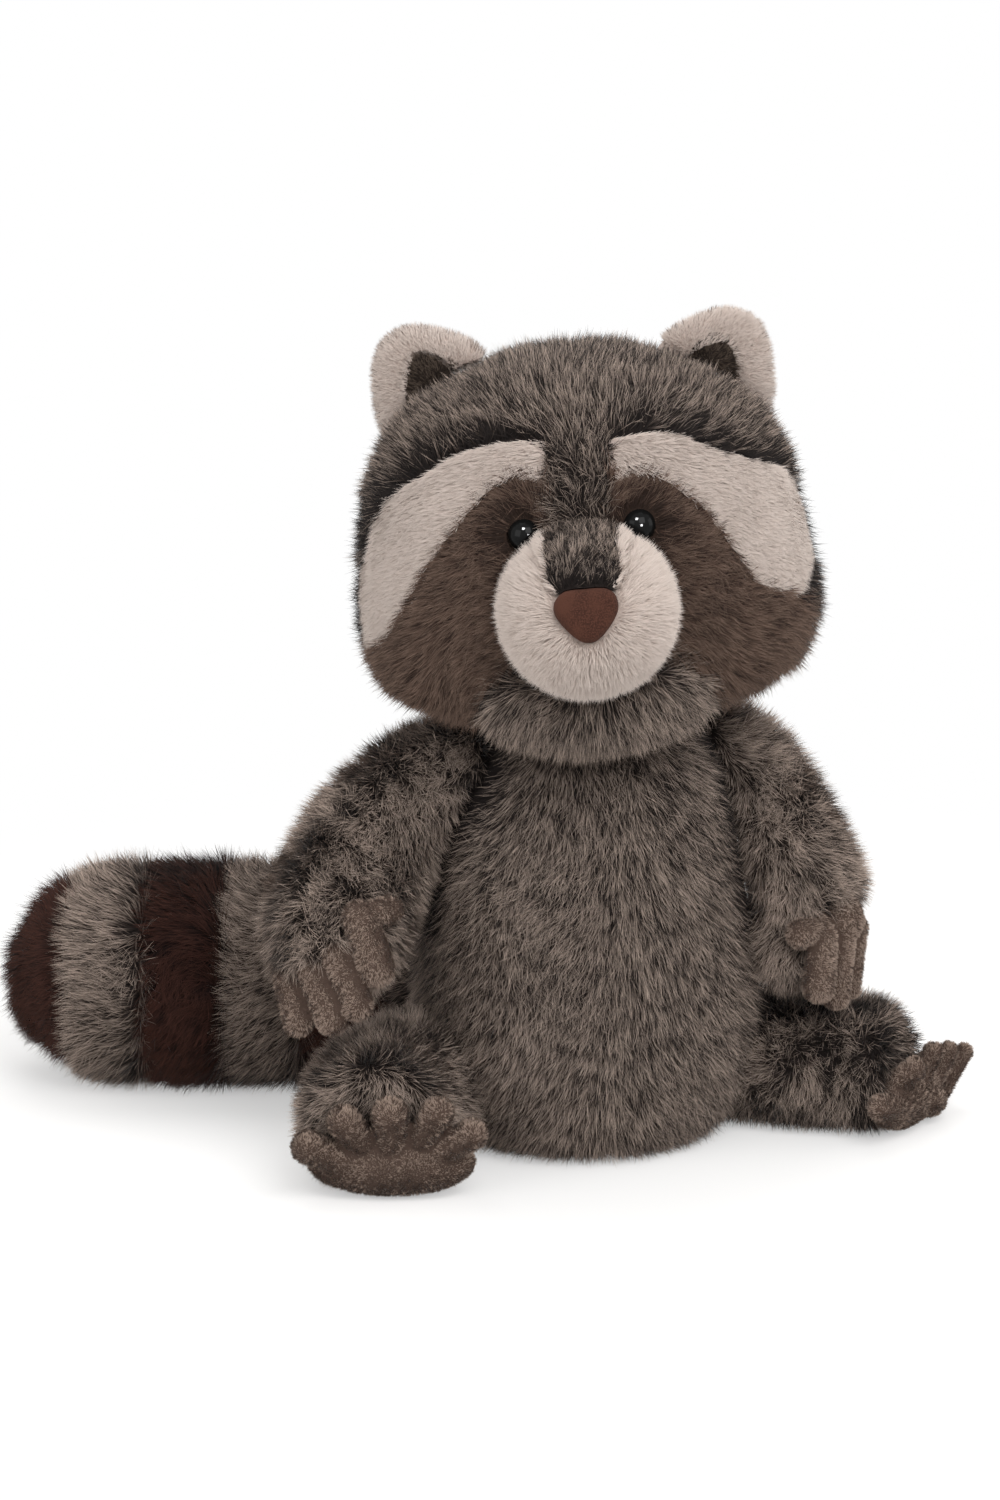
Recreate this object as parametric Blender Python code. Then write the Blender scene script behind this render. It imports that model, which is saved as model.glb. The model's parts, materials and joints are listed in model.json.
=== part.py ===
"""A sitting plush raccoon: stuffed body, head, limbs and ringed tail, sewn face panels, safety eyes.

The toy sits on the plane Z = 0, centred on the Z axis, facing -Y. +X is the toy's own left.
The head turns and tips on the neck, so its pieces are modelled in the head's own frame.
Lengths are in metres, and mm() turns millimetres into metres.
"""
import math

import bpy
import bmesh
from mathutils import Matrix, Vector

MM = 0.001


def mm(*values):
    """A point or a list of sizes given in millimetres, in metres."""
    return Vector(values) * MM


# Half the width of the block that stands for the ground
GROUND_REACH = 600 * MM

# Clearances between neighbours
SEAM_GAP = 0.3 * MM
EYE_STEM_CLEARANCE = 0.3 * MM

# Torso: a pear with a flat base, as stations of height and half width
TORSO_STATIONS = (
    mm(0, 37), mm(7, 45.5), mm(22, 52), mm(45, 54.5), mm(72, 54),
    mm(98, 50), mm(122, 43), mm(140, 33), mm(150, 22),
)
TORSO_DEPTH_RATIO = 0.94

# Head: an upright loaf, widest at the cheeks, as shares of its half height, half width, half depth
HEAD_WIDTH = 140 * MM
HEAD_DEPTH = 110 * MM
HEAD_HEIGHT = 116 * MM
HEAD_STATIONS = (
    Vector((-0.97, 0.45, 0.42)), Vector((-0.88, 0.75, 0.72)), Vector((-0.74, 0.93, 0.87)),
    Vector((-0.52, 1.00, 0.95)), Vector((-0.26, 1.00, 0.99)), Vector((0.02, 0.965, 1.00)),
    Vector((0.30, 0.92, 0.97)), Vector((0.56, 0.84, 0.89)), Vector((0.78, 0.68, 0.74)),
    Vector((0.92, 0.47, 0.52)), Vector((0.98, 0.26, 0.30)),
)
HEAD_CENTRE = mm(-6, -8.6, 201.5)
HEAD_TURN = math.radians(-23.5)
HEAD_TIP = math.radians(-5)

# The face outlines are drawn on a plane that leans back by this angle, seen square on
FACE_LEAN = math.radians(15)
PANEL_THICKNESS = 3 * MM
PANEL_BACK_EDGE = -14 * MM
PANEL_REACH = 90 * MM

# Outlines of the left-hand panels, as points across and up from the head's centre
BROW_OUTLINE = (
    mm(9.5, 18.5), mm(11, 23.3), mm(26, 24.5), mm(36.5, 22), mm(46, 17.3), mm(55, 15.3),
    mm(61.5, 11.5), mm(67, 4), mm(72, -6), mm(76, -18), mm(73, -28), mm(65, -29.5), mm(58, -26),
    mm(53, -19.5), mm(46.5, -9.5), mm(40, 0), mm(33, 7.5), mm(25.5, 13), mm(18, 15.2), mm(11.5, 13.5),
)
MASK_OUTLINE = (
    mm(9.5, 12), mm(16, 19), mm(34, 15), mm(56, -10), mm(78, -18), mm(82, -36), mm(72, -52),
    mm(58, -62), mm(41, -62), mm(33, -48), mm(20, -38), mm(10, -24), mm(8.5, -4),
)

# Muzzle: an egg on the front of the head, a bridge panel over it, and the nose
MUZZLE_SIZE = mm(51, 62, 49)
MUZZLE_CENTRE = mm(0, -59, -12.5)
BRIDGE_OUTLINE = (
    mm(0, 5.5), mm(6.5, 4.3), mm(11.8, -0.5), mm(13.3, -7), mm(11.4, -16), mm(9.2, -22.5), mm(0, -25),
)
BRIDGE_RISE = 1.2 * MM
NOSE_OUTLINE = (
    mm(0, 8), mm(6, 7.8), mm(9.1, 5.2), mm(8.3, 1), mm(4.6, -4.3), mm(1.9, -7.4), mm(0, -8),
)
NOSE_HEIGHT_ON_FACE = -30.3 * MM
NOSE_RISE = 3.6 * MM
NOSE_ROOT = 4 * MM
NOSE_LAYERS = ((1.0, 0.35), (0.9, 0.75), (0.62, 0.96), (0.3, 1.0))

# Throat panel under the muzzle
RUFF_SIZE = mm(85, 60, 48)
RUFF_CENTRE = mm(0, -27, -39)

# Safety eyes: glossy dome, flange and stem, and a washer behind the cloth
EYE_DIAMETER = 10 * MM
EYE_RISE = 4.4 * MM
EYE_FLANGE = 0.8 * MM
EYE_STEM_DIAMETER = 3.6 * MM
EYE_STEM_LENGTH = 12 * MM
EYE_SPACING = 35.4 * MM
EYE_HEIGHT_ON_FACE = -3.7 * MM
EYE_SINK = 0.6 * MM
EYE_DOME_ANGLES = (0.0, 0.4, 0.8, 1.15)
WASHER_DIAMETER = 13 * MM
WASHER_THICKNESS = 1.6 * MM
WASHER_DEPTH = 5.2 * MM

# Ears: flat stuffed lobes, with a darker lining let into the front
EAR_OUTLINE = (
    mm(24, 50), mm(27.5, 58.5), mm(36, 63.5), mm(48.5, 66.5), mm(57, 63.5), mm(61.5, 57),
    mm(62.8, 45.5), mm(60.5, 31), mm(49, 24), mm(33, 33),
)
EAR_THICKNESS = 9 * MM
EAR_LAYERS = ((0.62, 1.0), (0.86, 0.82), (0.97, 0.45))
EAR_SETBACK = 3 * MM
EAR_SPLAY = math.radians(12)
EAR_LINING_OUTLINE = (
    mm(35.5, 50), mm(40.5, 57), mm(47.5, 58.5), mm(51.5, 52), mm(51.5, 42), mm(48, 33), mm(39, 37),
)
EAR_LINING_THICKNESS = 2.4 * MM
EAR_LINING_LAYERS = ((0.94, 0.0), (1.0, 0.4), (1.0, 0.8), (0.9, 1.0))

# Limbs: centre lines with radii, from inside the torso outwards
ARM_RIGHT = (
    mm(-36, 3, 128, 15), mm(-55, 8, 118, 17), mm(-71, 8, 102, 20.5), mm(-83, 2, 86, 21.5),
    mm(-92.5, -10, 76, 20.5),
)
ARM_LEFT = (
    mm(34, -4, 128, 15), mm(49, -10, 119, 16.5), mm(56, -18, 103, 18.5), mm(61, -26, 87, 19.5),
    mm(66, -31, 74, 18.5),
)
LEG_RIGHT = (
    mm(-33, 2, 21.5, 22), mm(-57, -2, 21.5, 22.5), mm(-77, -13, 21.5, 22.5), mm(-87, -32, 21, 22),
)
LEG_LEFT = (
    mm(28, 2, 20, 20.5), mm(49, -11, 20, 21), mm(69, -26, 20, 21), mm(89, -40, 19.5, 20.5),
)
LIMB_ROOT_BULGE = 0.5
ARM_END_BULGE = 0.25
LEG_END_BULGE = 0.2

# Hands: a palm with three fingers and a thumb, placed from the arm's last centre point.
# Each digit is its start, its end and its radius.
PALM_SIZE = mm(30, 16, 28)
HAND_RIGHT_OFFSET = mm(-2.5, -11, -1.5)
HAND_RIGHT_TURN = math.radians(-26)
HAND_RIGHT_DIGITS = (
    (mm(-9, 0, -4), mm(-14.5, -4, -18.5), 5.2 * MM),
    (mm(-3, -1, -5), mm(-4, -6, -19), 5.2 * MM),
    (mm(4, -2, -3), mm(5, -8, -14.5), 5.6 * MM),
    (mm(9, -5, 7), mm(12, -11, -5), 6.0 * MM),
)
HAND_LEFT_OFFSET = mm(3, -5, -11)
HAND_LEFT_TURN = math.radians(35)
HAND_LEFT_DIGITS = (
    (mm(-10, -4, 2), mm(-12, -9, 0.5), 5 * MM),
    (mm(-7.5, -3, -2), mm(-9, -6, -16), 5.5 * MM),
    (mm(-0.5, -1, -2), mm(-0.5, -3, -17), 5.5 * MM),
    (mm(6.5, 0, -1), mm(7.5, -1, -15.5), 5.2 * MM),
)

# Feet: a half-moon sole with five toes along its top edge, standing on the leg's end
SOLE_WIDTH = 55 * MM
SOLE_HEIGHT = 33 * MM
SOLE_THICKNESS = 22 * MM
SOLE_CENTRE_HEIGHT = 15.5 * MM
SOLE_INWARD = 3.5 * MM
SOLE_PROUD = 5 * MM
TOES = (
    (mm(-20, -1, 19), 6.8 * MM), (mm(-9.5, -1, 26.5), 6.1 * MM), (mm(3.5, -1, 29.5), 6.1 * MM),
    (mm(16.5, -1, 29), 5.8 * MM), (mm(27, -1, 22), 5.5 * MM),
)
TOE_LENGTH = 13 * MM
TOE_RISE = 3 * MM
FOOT_RIGHT_TURN = math.radians(-23)
FOOT_LEFT_TURN = math.radians(47)

# Tail: one fat stuffed tube lying on the ground, of six sewn rings
TAIL_PATH = (
    mm(-4, 38, 33, 24), mm(-24, 58, 34.5, 31), mm(-60, 76, 35.5, 35), mm(-96, 92, 35.5, 36),
    mm(-126, 105.5, 35.5, 35), mm(-138.5, 111, 34, 31.5), mm(-145, 113.8, 32.5, 26), mm(-151, 116.5, 31, 19),
)
TAIL_ROOT_BULGE = 0.3
TAIL_TIP_BULGE = 0.45
TAIL_BLOCK_REACH = 90 * MM
TAIL_BLOCK_OVERRUN = 48 * MM
TAIL_SEAMS = (0.285, 0.445, 0.60, 0.76, 0.915)
TAIL_NAMES = (
    "tail_root_grey", "tail_ring_brown_inner", "tail_ring_grey_inner",
    "tail_ring_brown_outer", "tail_ring_grey_outer", "tail_tip_brown",
)

# Fineness of the surfaces
TORSO_SIDES = 22
HEAD_SIDES = 28
MUZZLE_SIDES = 20
LIMB_SIDES = 14
TAIL_SIDES = 18
PALM_SIDES = 12
SOLE_SIDES = 14
DIGIT_SIDES = 8
BALL_SIDES = 16
OUTLINE_STEPS = 2
CAP_STEPS = 3
SHARP_ANGLE = math.radians(50)

# Colours, as linear RGB, and roughness
FINISHES = {
    "grey_fur": ((0.098, 0.077, 0.067), 0.95),
    "beige_plush": ((0.50, 0.42, 0.37), 0.95),
    "mask_fur": ((0.092, 0.060, 0.046), 0.95),
    "paw_plush": ((0.125, 0.088, 0.070), 0.95),
    "tail_brown_fur": ((0.040, 0.020, 0.015), 0.95),
    "ear_lining_plush": ((0.045, 0.033, 0.026), 0.95),
    "nose_suede": ((0.075, 0.028, 0.019), 0.8),
    "eye_plastic": ((0.006, 0.006, 0.007), 0.08),
    "washer_plastic": ((0.55, 0.55, 0.53), 0.4),
}


def finish(name):
    """The Principled material of one finish, made the first time it is asked for."""
    material = bpy.data.materials.get(name)
    if material is None:
        colour, roughness = FINISHES[name]
        material = bpy.data.materials.new(name)
        material.use_nodes = True
        shader = material.node_tree.nodes["Principled BSDF"]
        shader.inputs["Base Color"].default_value = (*colour, 1)
        shader.inputs["Roughness"].default_value = roughness
        shader.inputs["Metallic"].default_value = 0
    return material


def smooth_curve(points, steps, closed=False):
    """Points along a Catmull-Rom curve through the given points."""
    count = len(points)
    spans = count if closed else count - 1
    curve = []
    for span in range(spans):
        if closed:
            a, b, c, d = (points[(span + k) % count] for k in (-1, 0, 1, 2))
        else:
            b, c = points[span], points[span + 1]
            a = points[span - 1] if span else 2 * b - c
            d = points[span + 2] if span + 2 < count else 2 * c - b
        for step in range(steps):
            t = step / steps
            curve.append(0.5 * (2 * b + (c - a) * t + (2 * a - 5 * b + 4 * c - d) * t ** 2
                                + (3 * b - a - 3 * c + d) * t ** 3))
    if not closed:
        curve.append(points[-1].copy())
    return curve


def skin(name, rings, parent=None, finish_name=None):
    """A closed solid through rings of points; a ring of one point is a pole, and ends are capped."""
    mesh = bmesh.new()
    loops = [[mesh.verts.new(point) for point in ring] for ring in rings]
    for near, far in zip(loops, loops[1:]):
        sides = max(len(near), len(far))
        for k in range(sides):
            after = (k + 1) % sides
            if len(near) == 1:
                mesh.faces.new((near[0], far[after], far[k]))
            elif len(far) == 1:
                mesh.faces.new((near[k], near[after], far[0]))
            else:
                mesh.faces.new((near[k], near[after], far[after], far[k]))
    for loop in (loops[0], loops[-1]):
        if len(loop) > 1:
            mesh.faces.new(loop)
    bmesh.ops.recalc_face_normals(mesh, faces=mesh.faces)
    data = bpy.data.meshes.new(name)
    mesh.to_mesh(data)
    mesh.free()
    solid = bpy.data.objects.new(name, data)
    bpy.context.scene.collection.objects.link(solid)
    solid.parent = parent
    if finish_name:
        data.materials.append(finish(finish_name))
    return solid


def circle(sides, half_width, half_depth, height):
    """A level ring of points round the Z axis, with none on the plane of symmetry."""
    angles = [2 * math.pi * (k + 0.5) / sides for k in range(sides)]
    return [Vector((half_width * math.cos(a), half_depth * math.sin(a), height)) for a in angles]


def combine(solid, other, operation):
    """Cut, join or intersect a solid with another, which is then removed.

    The exact solver drops some cuts between these many-sided cloth forms, which are all closed.
    """
    modifier = solid.modifiers.new(operation.title(), "BOOLEAN")
    modifier.object = other
    modifier.operation = operation
    modifier.solver = "MANIFOLD"
    bpy.context.view_layer.update()
    evaluated = solid.evaluated_get(bpy.context.evaluated_depsgraph_get())
    result = bpy.data.meshes.new_from_object(evaluated)
    solid.modifiers.remove(modifier)
    solid.data = result
    result.name = solid.name
    bpy.data.objects.remove(other)
    return solid


def cut(solid, *cutters):
    for cutter in cutters:
        combine(solid, cutter, "DIFFERENCE")
    return solid


def grown_outline(outline, by):
    """A closed outline moved outwards by a distance, for an outline listed in either direction."""
    count = len(outline)
    area = sum(outline[k - 1].x * outline[k].y - outline[k].x * outline[k - 1].y
               for k in range(count))
    turn = 1 if area > 0 else -1
    moved = []
    for k in range(count):
        along = (outline[(k + 1) % count] - outline[k - 1]).normalized()
        moved.append(outline[k] + Vector((along.y, -along.x)) * by * turn)
    return moved


def mirrored(outline):
    return [Vector((-point.x, point.y)) for point in outline]


def closed_half(outline):
    """A symmetrical outline from its right half, listed from the top middle to the bottom middle."""
    return list(outline) + mirrored(outline[-2:0:-1])


def floor_block():
    """All that lies under the ground, as a cutter."""
    corners = [Vector((x, y, 0)) * GROUND_REACH for x, y in ((-1, -1), (1, -1), (1, 1), (-1, 1))]
    return skin("ground", [[corner - Vector((0, 0, GROUND_REACH)) for corner in corners], corners])


def torso_shape(name, grow=0.0, finish_name=None):
    rings = []
    for station in smooth_curve(TORSO_STATIONS, OUTLINE_STEPS):
        half_width = station.y + grow
        rings.append(circle(TORSO_SIDES, half_width, half_width * TORSO_DEPTH_RATIO, station.x))
    for point in rings[0]:
        point.z -= grow
    for point in rings[-1]:
        point.z += grow
    return skin(name, rings, finish_name=finish_name)


def head_shape(name, grow=0.0, finish_name=None):
    half = Vector((HEAD_WIDTH / 2 + grow, HEAD_DEPTH / 2 + grow, HEAD_HEIGHT / 2 + grow))
    rings = [[Vector((0, 0, -half.z))]]
    for height, width, depth in smooth_curve(HEAD_STATIONS, 1):
        rings.append(circle(HEAD_SIDES, half.x * width, half.y * depth, half.z * height))
    rings.append([Vector((0, 0, half.z))])
    return skin(name, rings, HEAD_PLACE, finish_name)


def ball(name, size, centre, grow=0.0, parent=None, sides=BALL_SIDES, turn=0.0, finish_name=None):
    """An egg of the given outer size, turned about the vertical through its centre."""
    half = Vector(size) / 2 + Vector((grow, grow, grow))
    levels = sides // 2
    rings = []
    for level in range(levels + 1):
        angle = math.pi * (level / levels - 0.5)
        height = half.z * math.sin(angle)
        if level in (0, levels):
            rings.append([Vector((0, 0, height))])
        else:
            rings.append(circle(sides, half.x * math.cos(angle), half.y * math.cos(angle), height))
    spin = Matrix.Rotation(turn, 4, "Z")
    rings = [[Vector(centre) + spin @ point for point in ring] for ring in rings]
    return skin(name, rings, parent, finish_name)


def tube(name, stations, sides, grow=0.0, bulges=(0.5, 0.5), parent=None, finish_name=None):
    """A stuffed tube along stations of x, y, z and radius, with rounded ends."""
    points = [Vector(station[:3]) for station in stations]
    radii = [station[3] + grow for station in stations]
    last = len(points) - 1
    ways = [(points[min(k + 1, last)] - points[max(k - 1, 0)]).normalized() for k in range(last + 1)]
    side = ways[0].cross(Vector((0, 0, 1)))
    if side.length < 0.1:
        side = ways[0].cross(Vector((0, 1, 0)))
    rings = []
    for point, radius, way in zip(points, radii, ways):
        side = (side - way * side.dot(way)).normalized()
        other = way.cross(side)
        angles = [2 * math.pi * k / sides for k in range(sides)]
        rings.append([point + radius * (side * math.cos(a) + other * math.sin(a)) for a in angles])

    def end_cap(centre, ring, radius, outward, bulge):
        cap = []
        for step in range(1, CAP_STEPS):
            angle = 0.5 * math.pi * step / CAP_STEPS
            offset = outward * radius * bulge * math.sin(angle)
            cap.append([centre + (point - centre) * math.cos(angle) + offset for point in ring])
        cap.append([centre + outward * radius * bulge])
        return cap

    start = end_cap(points[0], rings[0], radii[0], -ways[0], bulges[0])
    end = end_cap(points[-1], rings[-1], radii[-1], ways[-1], bulges[1])
    return skin(name, start[::-1] + rings + end, parent, finish_name)


def face_point(across, up, out):
    """A point in the head's frame from a place on the leaning face plane and a distance in front."""
    lean_up = Vector((0, math.sin(FACE_LEAN), math.cos(FACE_LEAN)))
    lean_out = Vector((0, -math.cos(FACE_LEAN), math.sin(FACE_LEAN)))
    return Vector((across, 0, 0)) + lean_up * up + lean_out * out


def face_prism(name, outline, back, front):
    """An outline on the face plane, extruded square to it from back to front."""
    smooth = smooth_curve(outline, OUTLINE_STEPS, closed=True)
    return skin(name, [[face_point(p.x, p.y, out) for p in smooth] for out in (back, front)], HEAD_PLACE)


def face_seat(surface, across, up):
    """Where a line square to the face plane meets a surface, and the surface's outward normal."""
    bpy.context.view_layer.update()
    start = face_point(across, up, PANEL_REACH * 2)
    way = (face_point(across, up, 0) - start).normalized()
    _, place, normal, _ = surface.ray_cast(start, way)
    return place, normal


def let_in_panel(name, outline, carrier, shape, finish_name, rise=0.0, back=PANEL_BACK_EDGE, others=()):
    """A sewn panel let flush into its carrier: a piece of the shape's outer layer inside an outline."""
    panel = shape(name, rise, finish_name)
    combine(panel, face_prism("outline", outline, back, PANEL_REACH), "INTERSECT")
    cut(panel, shape("core", -PANEL_THICKNESS))
    cut(panel, *(face_prism("neighbour", grown_outline(other, SEAM_GAP), back - MM, PANEL_REACH + MM)
                 for other in others))
    pocket = face_prism("pocket", grown_outline(outline, SEAM_GAP), back - SEAM_GAP, PANEL_REACH)
    cut(pocket, shape("pocket_core", -PANEL_THICKNESS - SEAM_GAP))
    cut(carrier, pocket)
    return panel


def muzzle_shape(name, grow=0.0, finish_name=None):
    return ball(name, MUZZLE_SIZE, MUZZLE_CENTRE, grow, HEAD_PLACE, MUZZLE_SIDES, finish_name=finish_name)


def ruff_shape(name, grow=0.0, finish_name=None):
    return ball(name, RUFF_SIZE, RUFF_CENTRE, grow, HEAD_PLACE, finish_name=finish_name)


def turned(name, profile, place, axis, parent=None, sides=BALL_SIDES, finish_name=None):
    """A turned solid from stations of distance along the axis and radius; zero radius is a pole."""
    frame = Matrix.Translation(place) @ axis.to_track_quat("Z", "Y").to_matrix().to_4x4()
    rings = []
    for along, radius in profile:
        if radius:
            rings.append([frame @ point for point in circle(sides, radius, radius, along)])
        else:
            rings.append([frame @ Vector((0, 0, along))])
    return skin(name, rings, parent, finish_name)


def eye_shape(name, place, axis, grow=0.0, stem_grow=0.0, finish_name=None):
    radius = EYE_DIAMETER / 2 + grow
    stem = EYE_STEM_DIAMETER / 2 + stem_grow
    rise = EYE_RISE + grow
    back = -EYE_FLANGE - grow
    dome = [(rise * math.sin(a), radius * math.cos(a)) for a in EYE_DOME_ANGLES]
    profile = [(-EYE_STEM_LENGTH - stem_grow, 0), (-EYE_STEM_LENGTH - stem_grow, stem), (back, stem),
               (back, radius), *dome, (rise, 0)]
    return turned(name, profile, place, axis, HEAD_PLACE, finish_name=finish_name)


def make_washer(name, place, axis):
    """A flat ring on the eye's stem, behind the cloth."""
    top = -WASHER_DEPTH
    bottom = top - WASHER_THICKNESS
    washer = turned(name, [(bottom, WASHER_DIAMETER / 2), (top, WASHER_DIAMETER / 2)],
                    place, axis, HEAD_PLACE, finish_name="washer_plastic")
    hole = EYE_STEM_DIAMETER / 2 + EYE_STEM_CLEARANCE
    return cut(washer, turned("hole", [(bottom - MM, hole), (top + MM, hole)], place, axis, HEAD_PLACE))


def make_eye(side, sign, head, mask):
    surface, axis = face_seat(mask, sign * EYE_SPACING / 2, EYE_HEIGHT_ON_FACE)
    place = surface - axis * EYE_SINK
    eye_shape("eye_" + side, place, axis, finish_name="eye_plastic")
    for cloth in (mask, head):
        cut(cloth, eye_shape("eye_seat", place, axis, SEAM_GAP, EYE_STEM_CLEARANCE))
    make_washer("eye_washer_" + side, place, axis)
    pocket_radius = WASHER_DIAMETER / 2 + SEAM_GAP
    pocket_floor = -WASHER_DEPTH - WASHER_THICKNESS - SEAM_GAP
    cut(head, turned("washer_pocket", [(pocket_floor, pocket_radius), (0, pocket_radius)],
                     place, axis, HEAD_PLACE))


def pillow(name, outline, layers, place, finish_name=None):
    """A flat stuffed form: an outline shrunk about its middle at each layer of share and height."""
    smooth = smooth_curve(outline, OUTLINE_STEPS, closed=True)
    middle = sum(smooth, Vector((0, 0))) / len(smooth)
    rings = []
    for share, height in layers:
        shrunk = [middle + (point - middle) * share for point in smooth]
        rings.append([place @ Vector((point.x, point.y, height)) for point in shrunk])
    return skin(name, rings, HEAD_PLACE, finish_name)


def make_ear(side, sign):
    """The lobe and its lining; the ear stands upright in the head's frame and looks a little outwards."""
    outline = EAR_OUTLINE if sign > 0 else mirrored(EAR_OUTLINE)
    lining_outline = EAR_LINING_OUTLINE if sign > 0 else mirrored(EAR_LINING_OUTLINE)
    inner_edge = Vector((sign * EAR_OUTLINE[0].x, EAR_SETBACK, 0))
    place = (Matrix.Translation(inner_edge) @ Matrix.Rotation(sign * EAR_SPLAY, 4, "Z")
             @ Matrix.Translation(Vector((-inner_edge.x, 0, 0))) @ Matrix.Rotation(math.radians(90), 4, "X"))
    half = EAR_THICKNESS / 2

    def lobe(name, grow=0.0, finish_name=None):
        layers = [(share, -(half + grow) * level) for share, level in EAR_LAYERS]
        layers += [(share, -height) for share, height in layers[::-1]]
        return pillow(name, grown_outline(outline, grow), layers, place, finish_name)

    def lining(name, grow=0.0, finish_name=None):
        back = half + SEAM_GAP - EAR_LINING_THICKNESS
        layers = [(share, back - grow + (EAR_LINING_THICKNESS + 2 * grow) * level)
                  for share, level in EAR_LINING_LAYERS]
        return pillow(name, grown_outline(lining_outline, grow), layers, place, finish_name)

    ear = lobe("ear_" + side, finish_name="beige_plush")
    cut(ear, lining("lining_pocket", SEAM_GAP), head_shape("head_cut", SEAM_GAP))
    cut(lining("ear_lining_" + side, finish_name="ear_lining_plush"), head_shape("head_cut", SEAM_GAP))


def nose_shape(name, out, grow=0.0, finish_name=None):
    """The nose pad, square to the face plane, with its seat at a distance in front of that plane."""
    frame = Matrix.Translation(face_point(0, NOSE_HEIGHT_ON_FACE, 0)) @ Matrix.Rotation(
        math.radians(90) - FACE_LEAN, 4, "X")
    layers = [(1.0, out - NOSE_ROOT - grow)]
    layers += [(share, out + NOSE_RISE * level + grow) for share, level in NOSE_LAYERS]
    return pillow(name, grown_outline(closed_half(NOSE_OUTLINE), grow), layers, frame, finish_name)


def make_head():
    """The head, its sewn face panels, the muzzle and what sits on them."""
    head = head_shape("head", finish_name="grey_fur")
    for side, sign in (("left", 1), ("right", -1)):
        brow = BROW_OUTLINE if sign > 0 else mirrored(BROW_OUTLINE)
        mask = MASK_OUTLINE if sign > 0 else mirrored(MASK_OUTLINE)
        let_in_panel("brow_stripe_" + side, brow, head, head_shape, "beige_plush")
        patch = let_in_panel("mask_patch_" + side, mask, head, head_shape, "mask_fur", others=[brow])
        make_eye(side, sign, head, patch)
        make_ear(side, sign)
    muzzle = muzzle_shape("muzzle", finish_name="beige_plush")
    seat, _ = face_seat(muzzle, 0, NOSE_HEIGHT_ON_FACE)
    nose_out = (seat - face_point(0, NOSE_HEIGHT_ON_FACE, 0)).length
    nose_shape("nose", nose_out, finish_name="nose_suede")
    cut(muzzle, nose_shape("nose_seat", nose_out, SEAM_GAP))
    bridge = let_in_panel("snout_bridge", closed_half(BRIDGE_OUTLINE), muzzle, muzzle_shape, "grey_fur",
                          rise=BRIDGE_RISE, back=0.0)
    cut(bridge, nose_shape("nose_seat", nose_out, SEAM_GAP), head_shape("head_cut", SEAM_GAP))
    cut(muzzle, head_shape("head_cut", SEAM_GAP))
    ruff = ruff_shape("chin_ruff", finish_name="grey_fur")
    cut(ruff, head_shape("head_cut", SEAM_GAP), muzzle_shape("muzzle_cut", SEAM_GAP))


def arm_shape(name, stations, grow=0.0, finish_name=None):
    return tube(name, smooth_curve(stations, 2), LIMB_SIDES, grow,
                (LIMB_ROOT_BULGE, ARM_END_BULGE), finish_name=finish_name)


def leg_shape(name, stations, grow=0.0, finish_name=None):
    return tube(name, smooth_curve(stations, 2), LIMB_SIDES, grow,
                (LIMB_ROOT_BULGE, LEG_END_BULGE), finish_name=finish_name)


def make_hand(side, arm, leg, offset, turn, digits):
    """Palm, fingers and thumb of short pile, sewn into the end of the arm."""
    wrist = Vector(arm[-1][:3]) + offset
    hand = ball("hand_" + side, PALM_SIZE, wrist, sides=PALM_SIDES, turn=turn, finish_name="paw_plush")
    for start, end, radius in digits:
        stations = [Vector((*(wrist + start), radius)), Vector((*(wrist + end), radius))]
        combine(hand, tube("digit", stations, DIGIT_SIDES, bulges=(1, 1)), "UNION")
    cut(hand, arm_shape("arm_cut", arm, SEAM_GAP), leg_shape("leg_cut", leg, SEAM_GAP))


def make_foot(side, sign, leg, turn):
    """Sole and toes of short pile, sewn over the end of the leg, with the sole facing out."""
    ankle = Vector(leg[-1][:3])
    ankle.z = 0
    frame = Matrix.Translation(ankle) @ Matrix.Rotation(turn, 4, "Z")
    reach = leg[-1][3] * LEG_END_BULGE + SOLE_PROUD
    middle = Vector((sign * SOLE_INWARD, SOLE_THICKNESS / 2 - reach - SOLE_PROUD, SOLE_CENTRE_HEIGHT))
    centre = frame @ middle
    foot = ball("foot_" + side, (SOLE_WIDTH, SOLE_THICKNESS, SOLE_HEIGHT), centre, sides=SOLE_SIDES, turn=turn,
                finish_name="paw_plush")
    for place, radius in TOES:
        root = frame @ Vector((sign * place.x, place.y - reach + TOE_LENGTH / 2, place.z - TOE_RISE))
        tip = frame @ Vector((sign * place.x, place.y - reach - SOLE_PROUD, place.z))
        stations = [Vector((*root, radius)), Vector((*tip, radius))]
        combine(foot, tube("toe", stations, DIGIT_SIDES, bulges=(1, 1)), "UNION")
    cut(foot, leg_shape("leg_cut", leg, SEAM_GAP), floor_block())


def make_limbs():
    for side, sign, arm, leg, offset, hand_turn, digits, foot_turn in (
            ("left", -1, ARM_LEFT, LEG_LEFT, HAND_LEFT_OFFSET, HAND_LEFT_TURN, HAND_LEFT_DIGITS,
             FOOT_LEFT_TURN),
            ("right", 1, ARM_RIGHT, LEG_RIGHT, HAND_RIGHT_OFFSET, HAND_RIGHT_TURN, HAND_RIGHT_DIGITS,
             FOOT_RIGHT_TURN)):
        cut(leg_shape("leg_" + side, leg, finish_name="grey_fur"), torso_shape("torso_cut", SEAM_GAP),
            floor_block())
        cut(arm_shape("arm_" + side, arm, finish_name="grey_fur"), torso_shape("torso_cut", SEAM_GAP),
            head_shape("head_cut", SEAM_GAP), ruff_shape("ruff_cut", SEAM_GAP), leg_shape("leg_cut", leg, SEAM_GAP))
        make_hand(side, arm, leg, offset, hand_turn, digits)
        make_foot(side, sign, leg, foot_turn)


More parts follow.
